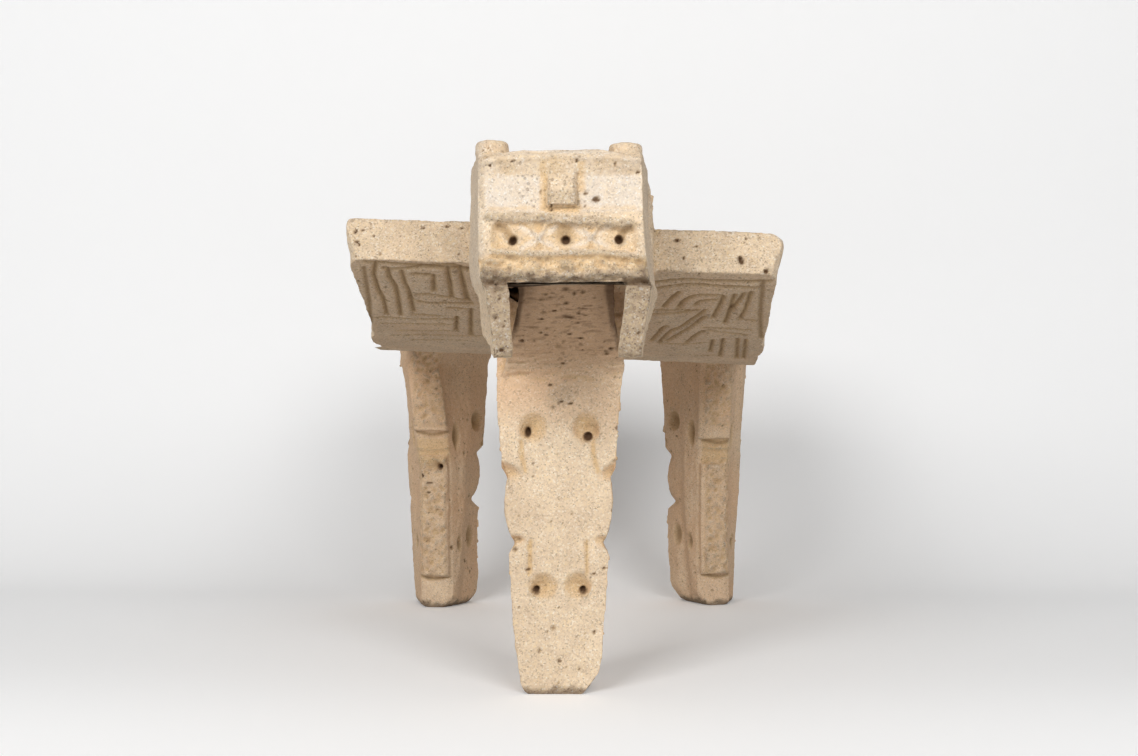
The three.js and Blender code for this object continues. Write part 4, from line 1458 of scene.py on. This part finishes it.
    def weather(self, stone: Stone) -> None:
        """Roughens the whole skin, greys its worn edges, darkens and yellows its hollows, and
        paints warm bounce light under the plate.
        """
        p = stone.places
        coarse = lattice_noise(p, 14.0, 4)
        rough = 0.32 * lattice_noise(p, 9.0, 1) + 0.26 * lattice_noise(p, 4.2, 2)
        rough += (0.26 + 0.12 * coarse) * lattice_noise(p, 2.4, 3) - 0.12
        stone.swell(rough)
        stone.settle()
        bulge = stone.bulge(6)
        every = np.arange(len(p))
        lumps = lattice_noise(p, 5.0, 5)
        stone.mark(Mask.WEAR, every, ease(bulge + 0.2 * lumps, 0.3, 1.1) * 0.7)
        # Hollows are darkened by how far they sink below their surroundings.
        stone.mark(Mask.SOIL, every, ease(-bulge, 0.5, 1.8) * 0.35)
        stone.mark(Mask.STAIN, every, ease(-bulge, 0.1, 0.8) * 0.6)
        self.paint_warm_bounce(stone)

    def paint_warm_bounce(self, stone: Stone) -> None:
        """Paints warm bounce light on the faces that the plate shelters, as a warmer tone, and a
        little shade on those turned aside.
        """
        carving = Place().read(stone.places)
        on_plate = self.plate.place.read(stone.places)
        on_plate[:, 1] = np.clip(on_plate[:, 1], -self.plate.half_length, self.plate.half_length)
        above = self.plate.height(on_plate)
        x, y, z = carving.T
        nx, ny, nz = stone.normals.T
        below = ease(-nz, 0.25, 0.8) * ease(z, 20, 60) * (y > -20.5)
        aside = ease(np.maximum(np.abs(nx), ny), 0.4, 0.8) * (1 - ease(above, -3, 3)) * (y > -25)
        ribs = ease(y, 60, 90) * (1 - ease(above, -3, 3)) * (0.55 + 0.35 * ease(z, 100, 190))
        patches = 0.75 + 0.4 * lattice_noise(stone.places, 26.0, 6)
        every = np.arange(len(x))
        # Painted warm bounce light on faces turned down, aside or back under the plate, and on the
        # rear legs' spines.
        stone.mark(Mask.BLUSH, every, np.maximum.reduce([below * 0.55, aside, ribs]) * patches)
        # Painted shade on the sheltered faces turned aside.
        stone.mark(Mask.SOIL, every, aside * 0.06)


@dataclass(frozen=True)
class Pores:
    """The bubbles in the stone that its cut faces laid open."""

    count: int = 900
    least: float = 0.8
    most: float = 2.0
    seed: int = 5

    def bore(self, stone: Stone) -> None:
        """Bores the pores: many small ones and a few large ones, each darkened inside with painted
        shade.
        """
        rng = np.random.default_rng(self.seed)
        tree = KDTree(len(stone.places))
        for index, place in enumerate(stone.places.tolist()):
            tree.insert(place, index)
        tree.balance()
        free = (stone.masks[Mask.PALE] < 0.2) & (stone.masks[Mask.STAIN] < 0.5)
        chosen = rng.choice(np.flatnonzero(free), self.count, replace=False)
        radii = self.least + (self.most - self.least) * rng.random(self.count) ** 5
        darks = rng.uniform(0.35, 0.95, self.count)
        moves = np.zeros_like(stone.places)
        for pore, radius, dark in zip(chosen.tolist(), radii, darks):
            found = tree.find_range(stone.places[pore].tolist(), radius * 1.2)
            index = np.array([item[1] for item in found])
            t = np.array([item[2] for item in found]) / radius
            inwards = -stone.normals[pore]
            moves[index] += np.outer((1 - ease(t, 0.35, 1.15)) * radius * 0.8, inwards)
            # Painted shade inside each pore.
            stone.mark(Mask.SOIL, index, (1 - ease(t, 0.4, 1.1)) * dark)
        stone.places += moves
        stone.settle()


# Finish


class Wiring:
    """Adds and joins the nodes of one material or node group."""

    def __init__(self, tree: bpy.types.NodeTree) -> None:
        """Starts on an emptied tree."""
        self.tree = tree
        tree.nodes.clear()

    def add(self, kind: str, *inputs: object, **settings: object) -> bpy.types.Node:
        """Adds a node.

        Args:
            kind: The node's type, without the word ShaderNode.
            inputs: A value or a socket for each of its enabled inputs in turn, or None.
            settings: The node's own settings. Those that begin with in_ name an input.

        Returns:
            The node.
        """
        node = self.tree.nodes.new("ShaderNode" + kind)
        for name, value in settings.items():
            if not name.startswith("in_"):
                setattr(node, name, value)
        sockets = [socket for socket in node.inputs if socket.enabled]
        named = [(sockets[i], value) for i, value in enumerate(inputs) if value is not None]
        for name, value in settings.items():
            if name.startswith("in_"):
                named.append((node.inputs[name[3:].replace("_", " ")], value))
        for socket, value in named:
            if isinstance(value, bpy.types.NodeSocket):
                self.tree.links.new(value, socket)
            else:
                socket.default_value = value
        return node

    def math(self, operation: str, *values: object, clamp: bool = False) -> bpy.types.NodeSocket:
        """Adds a sum of the kind that the operation names."""
        return self.add("Math", *values, operation=operation, use_clamp=clamp).outputs[0]

    def blend(
        self, share: object, low: object, high: object, kind: str = "MIX"
    ) -> bpy.types.NodeSocket:
        """Blends two colours."""
        node = self.add("Mix", share, low, high, data_type="RGBA", blend_type=kind)
        return next(socket for socket in node.outputs if socket.enabled)

    def span(self, value: object, low: float, high: float) -> bpy.types.NodeSocket:
        """Eases a value from 0 at low to 1 at high."""
        node = self.add("MapRange", value, low, high, 0.0, 1.0, interpolation_type="SMOOTHSTEP")
        return node.outputs[0]

    def noise(
        self, where: object, scale: float, detail: float = 2.0, rough: float = 0.5
    ) -> bpy.types.NodeSocket:
        """Adds noise at a scale given in lumps to the metre."""
        node = self.add("TexNoise", in_Vector=where, in_Scale=scale, in_Detail=detail)
        node.inputs["Roughness"].default_value = rough
        return node.outputs["Fac"]

    def ramp(self, value: object, stops: Sequence[tuple[float, Triple]]) -> bpy.types.NodeSocket:
        """Turns a value into a colour."""
        node = self.add("ValToRGB", value)
        bar = node.color_ramp.elements
        while len(bar) < len(stops):
            bar.new(0.5)
        for element, (at, colour) in zip(bar, stops):
            element.position = at
            element.color = (*colour, 1)
        return node.outputs[0]


def grain_group() -> bpy.types.NodeTree:
    """The stone's grain: fine crystals and ash, pin holes, and slow changes of tone.

    Returns:
        A group from a place to the grains' colour, the pin holes, the tone and the height.
    """
    tree = bpy.data.node_groups.new("stone_grain", "ShaderNodeTree")
    face = tree.interface
    face.new_socket("Place", in_out="INPUT", socket_type="NodeSocketVector")
    face.new_socket("Grains", in_out="OUTPUT", socket_type="NodeSocketColor")
    for name in ("Share", "Pins", "Tone", "Height"):
        face.new_socket(name, in_out="OUTPUT", socket_type="NodeSocketFloat")
    net = Wiring(tree)
    start = tree.nodes.new("NodeGroupInput").outputs["Place"]
    end = tree.nodes.new("NodeGroupOutput")
    bent = net.add("TexNoise", in_Vector=start, in_Scale=900.0, in_Detail=1.0).outputs["Color"]
    drift = net.add("VectorMath", bent, (0.0006, 0.0006, 0.0006), operation="MULTIPLY").outputs[0]
    place = net.add("VectorMath", start, drift, operation="ADD").outputs[0]
    cells = net.add("TexVoronoi", in_Vector=place, in_Scale=1150.0)
    chance = net.add("SeparateColor", cells.outputs["Color"])
    colours = net.ramp(
        chance.outputs[0],
        (
            (0.00, (0.24, 0.17, 0.11)),
            (0.05, (0.42, 0.32, 0.22)),
            (0.16, (0.60, 0.46, 0.32)),
            (0.36, (0.74, 0.57, 0.39)),
            (0.60, (0.80, 0.63, 0.44)),
            (0.80, (0.86, 0.66, 0.38)),
            (0.90, (0.88, 0.77, 0.60)),
            (1.00, (0.93, 0.87, 0.76)),
        ),
    )
    fine = net.noise(start, 2600.0, 1.0)
    middle = net.noise(start, 420.0, 3.0, 0.6)
    share = net.math("MULTIPLY_ADD", net.span(middle, 0.35, 0.7), 0.30, 0.36)
    pin_cells = net.add("TexVoronoi", in_Vector=place, in_Scale=300.0)
    pin_chance = net.add("SeparateColor", pin_cells.outputs["Color"]).outputs[1]
    crowd = net.noise(start, 55.0, 2.0)
    wide = net.math("MULTIPLY_ADD", net.math("MULTIPLY", pin_chance, crowd), 1.0, -0.36)
    pins = net.math(
        "SUBTRACT", 1.0,
        net.span(net.math("SUBTRACT", pin_cells.outputs["Distance"], wide), 0.0, 0.10),
    )
    tone = net.math(
        "ADD", net.noise(start, 22.0, 3.0, 0.55),
        net.math("MULTIPLY", net.noise(start, 90.0, 3.0, 0.6), 0.6),
    )
    height = net.math("MULTIPLY_ADD", fine, 0.5, net.math("MULTIPLY", middle, 0.7))
    height = net.math("MULTIPLY_ADD", chance.outputs[1], 0.28, height)
    height = net.math("MULTIPLY_ADD", pins, -1.1, height)
    for name, value in (
        ("Grains", colours),
        ("Share", share),
        ("Pins", pins),
        ("Tone", tone),
        ("Height", height),
    ):
        tree.links.new(value, end.inputs[name])
    return tree


@dataclass(frozen=True)
class StoneFinish:
    """Pale, speckled volcanic stone, yellowed in its cuts and greyed at its wear, darkened with
    dirt and painted shade, and warmed with painted bounce light.
    """

    body: Triple = (0.795, 0.630, 0.455)
    dull: Triple = (0.670, 0.515, 0.365)
    stain: Triple = (0.680, 0.465, 0.245)
    # Dark colour for dirt and for painted shade.
    soil: Triple = (0.120, 0.066, 0.034)
    wear: Triple = (0.440, 0.345, 0.250)
    # Warm colour for the pink tone and for painted bounce light.
    blush: Triple = (0.760, 0.505, 0.318)
    pale: Triple = (0.750, 0.656, 0.556)
    relief: float = 0.0007

    def material(self) -> bpy.types.Material:
        """Builds the stone's material."""
        material = bpy.data.materials.new("speckled_stone")
        material.use_nodes = True
        net = Wiring(material.node_tree)
        place = net.add("TexCoord").outputs["Object"]
        grain = net.add("Group", node_tree=grain_group())
        net.tree.links.new(place, grain.inputs["Place"])
        masks = {
            mask: net.add("Attribute", attribute_name=mask.value).outputs["Fac"] for mask in Mask
        }
        tone = net.span(grain.outputs["Tone"], 0.55, 1.1)
        colour = net.blend(tone, (*self.dull, 1), (*self.body, 1))
        for mask, other, share in (
            (Mask.BLUSH, self.blush, 0.9),
            (Mask.PALE, self.pale, 0.95),
            (Mask.STAIN, self.stain, 0.85),
            (Mask.WEAR, self.wear, 0.85),
        ):
            colour = net.blend(net.math("MULTIPLY", masks[mask], share), colour, (*other, 1))
        share = net.math(
            "MULTIPLY", net.math("MAXIMUM", masks[Mask.PALE], masks[Mask.BLUSH]), -0.16
        )
        share = net.math("MULTIPLY_ADD", masks[Mask.WEAR], 0.30, share)
        share = net.math("ADD", grain.outputs["Share"], share, clamp=True)
        scaled = net.blend(1.0, grain.outputs["Grains"], (1.34, 1.70, 2.35, 1), "MULTIPLY")
        tinted = net.blend(1.0, colour, scaled, "MULTIPLY")
        colour = net.blend(share, colour, tinted)
        # The soil mask darkens the colour here with dirt and painted shade, together with the pin
        # holes.
        dark = net.math("MULTIPLY", grain.outputs["Pins"], 0.36)
        dark = net.math("MAXIMUM", dark, masks[Mask.SOIL])
        colour = net.blend(dark, colour, (*self.soil, 1))
        shader = net.add("BsdfPrincipled", in_Base_Color=colour)
        shader.inputs["Specular IOR Level"].default_value = 0.25
        rough = net.math("MULTIPLY_ADD", grain.outputs["Height"], 0.12, 0.82)
        net.tree.links.new(rough, shader.inputs["Roughness"])
        bump = net.add("Bump", in_Height=grain.outputs["Height"])
        bump.inputs["Strength"].default_value = 0.55
        bump.inputs["Distance"].default_value = self.relief
        net.tree.links.new(bump.outputs[0], shader.inputs["Normal"])
        out = net.add("OutputMaterial")
        net.tree.links.new(shader.outputs[0], out.inputs["Surface"])
        return material


# Studio


@dataclass(frozen=True)
class Studio:
    """The pale sweep of paper, the soft lamps and the camera."""

    lens: float = 45.87
    sensor: float = 36.0
    camera_at: Triple = (0.0296, -1.1024, 0.203)
    camera_turn: float = 1.6
    sweep_start: float = 0.26
    sweep_radius: float = 0.36
    half_width: float = 5.0
    near: float = -4.0
    top: float = 4.0
    paper_seen: float = 0.98
    paper_glow: float = 0.05
    # Painted light on the floor near the camera, seen by the camera only.
    floor_glow: float = 0.08
    paper_lit: float = 0.66
    air: float = 0.20

    def camera(self) -> None:
        """Sets the camera where the photograph was taken from."""
        data = bpy.data.cameras.new("camera")
        data.lens = self.lens
        data.sensor_width = self.sensor
        data.sensor_fit = "HORIZONTAL"
        data.clip_start, data.clip_end = 0.05, 50
        camera = bpy.data.objects.new("camera", data)
        camera.location = self.camera_at
        camera.rotation_euler = (math.pi / 2, 0, math.radians(self.camera_turn))
        bpy.context.scene.collection.objects.link(camera)
        bpy.context.scene.camera = camera

    def sweep(self) -> None:
        """Lays the floor, which curves up behind the stone into a wall."""
        bm = bmesh.new()
        corners = [bm.verts.new((x, self.near, 0)) for x in (-self.half_width, self.half_width)]
        edge = bm.edges.new(corners)
        flat = bmesh.ops.extrude_edge_only(bm, edges=[edge])["geom"]
        verts = [item for item in flat if isinstance(item, bmesh.types.BMVert)]
        bmesh.ops.translate(bm, verts=verts, vec=(0, self.sweep_start - self.near, 0))
        front = [item for item in flat if isinstance(item, bmesh.types.BMEdge)]
        arc = bmesh.ops.spin(
            bm,
            geom=[e for e in front if all(v in verts for v in e.verts)] + verts,
            cent=(0, self.sweep_start, self.sweep_radius),
            axis=(1, 0, 0),
            angle=math.pi / 2,
            steps=24,
        )["geom_last"]
        rim = [item for item in arc if isinstance(item, bmesh.types.BMEdge)]
        wall = bmesh.ops.extrude_edge_only(bm, edges=rim)["geom"]
        verts = [item for item in wall if isinstance(item, bmesh.types.BMVert)]
        bmesh.ops.translate(bm, verts=verts, vec=(0, 0, self.top))
        bmesh.ops.recalc_face_normals(bm, faces=bm.faces)
        for face in bm.faces:
            face.smooth = True
        mesh = bpy.data.meshes.new("paper_sweep")
        bm.to_mesh(mesh)
        bm.free()
        mesh.materials.append(self.paper())
        sweep = bpy.data.objects.new("paper_sweep", mesh)
        bpy.context.scene.collection.objects.link(sweep)
        sweep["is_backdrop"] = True

    def paper(self) -> bpy.types.Material:
        """The pale paper, brighter to the camera than to the stone, to stay pale, with painted
        light that brightens the floor near the camera.
        """
        material = bpy.data.materials.new("studio_paper")
        material.use_nodes = True
        net = Wiring(material.node_tree)
        seen = net.add("LightPath").outputs["Is Camera Ray"]
        colour = net.blend(seen, (self.paper_lit,) * 3 + (1,), (self.paper_seen,) * 3 + (1,))
        shader = net.add("BsdfPrincipled", in_Base_Color=colour, in_Roughness=1.0)
        shader.inputs["Specular IOR Level"].default_value = 0.0
        shader.inputs["Emission Color"].default_value = (1, 1, 1, 1)
        along = net.add("SeparateXYZ", net.add("TexCoord").outputs["Object"]).outputs[1]
        # Painted light: the floor near the camera glows brighter to the camera.
        behind = net.span(along, -0.30, -0.05)
        glow = net.math("MULTIPLY_ADD", behind, -self.floor_glow, self.paper_glow + self.floor_glow)
        glow = net.math("MULTIPLY", seen, glow)
        net.tree.links.new(glow, shader.inputs["Emission Strength"])
        out = net.add("OutputMaterial")
        net.tree.links.new(shader.outputs[0], out.inputs["Surface"])
        return material

    @staticmethod
    def lamp(name: str, at: Triple, aim: Triple, size: float, power: float) -> None:
        """Hangs a soft square lamp and aims it."""
        data = bpy.data.lights.new(name, "AREA")
        data.shape = "SQUARE"
        data.size = size
        data.energy = power
        lamp = bpy.data.objects.new(name, data)
        lamp.location = at
        lamp.rotation_euler = (Vector(aim) - Vector(at)).to_track_quat("-Z", "Y").to_euler()
        bpy.context.scene.collection.objects.link(lamp)

    def light(self) -> None:
        """Lights the stone softly, mostly from above and in front, a little from the left."""
        world = bpy.data.worlds.new("studio_air")
        world.use_nodes = True
        world.node_tree.nodes["Background"].inputs["Color"].default_value = (1, 1, 1, 1)
        world.node_tree.nodes["Background"].inputs["Strength"].default_value = self.air
        bpy.context.scene.world = world
        self.lamp("left_softbox", (-1.0, -2.2, 1.25), (0, -0.1, 0.15), 1.1, 35.4)
        self.lamp("right_softbox", (0.85, -2.2, 1.25), (0, -0.1, 0.15), 1.1, 26.6)

    def build(self) -> None:
        """Sets up the whole studio."""
        self.camera()
        self.sweep()
        self.light()
        bpy.context.scene.view_settings.view_transform = "Standard"


def main() -> None:
    """Builds the metate and the studio."""
    logging.basicConfig(level=logging.INFO, format="%(name)s: %(message)s")
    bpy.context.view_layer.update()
    Studio().build()
    members = Carving().make()
    finish = StoneFinish().material()
    for member, piece in sorted(members.items()):
        piece.data.materials.append(finish)
        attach(piece, BODY)
        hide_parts(CAD_NODE[member])
        log.info("%s: %d faces", piece.name, len(piece.data.polygons))


if __name__ == "__main__":
    main()
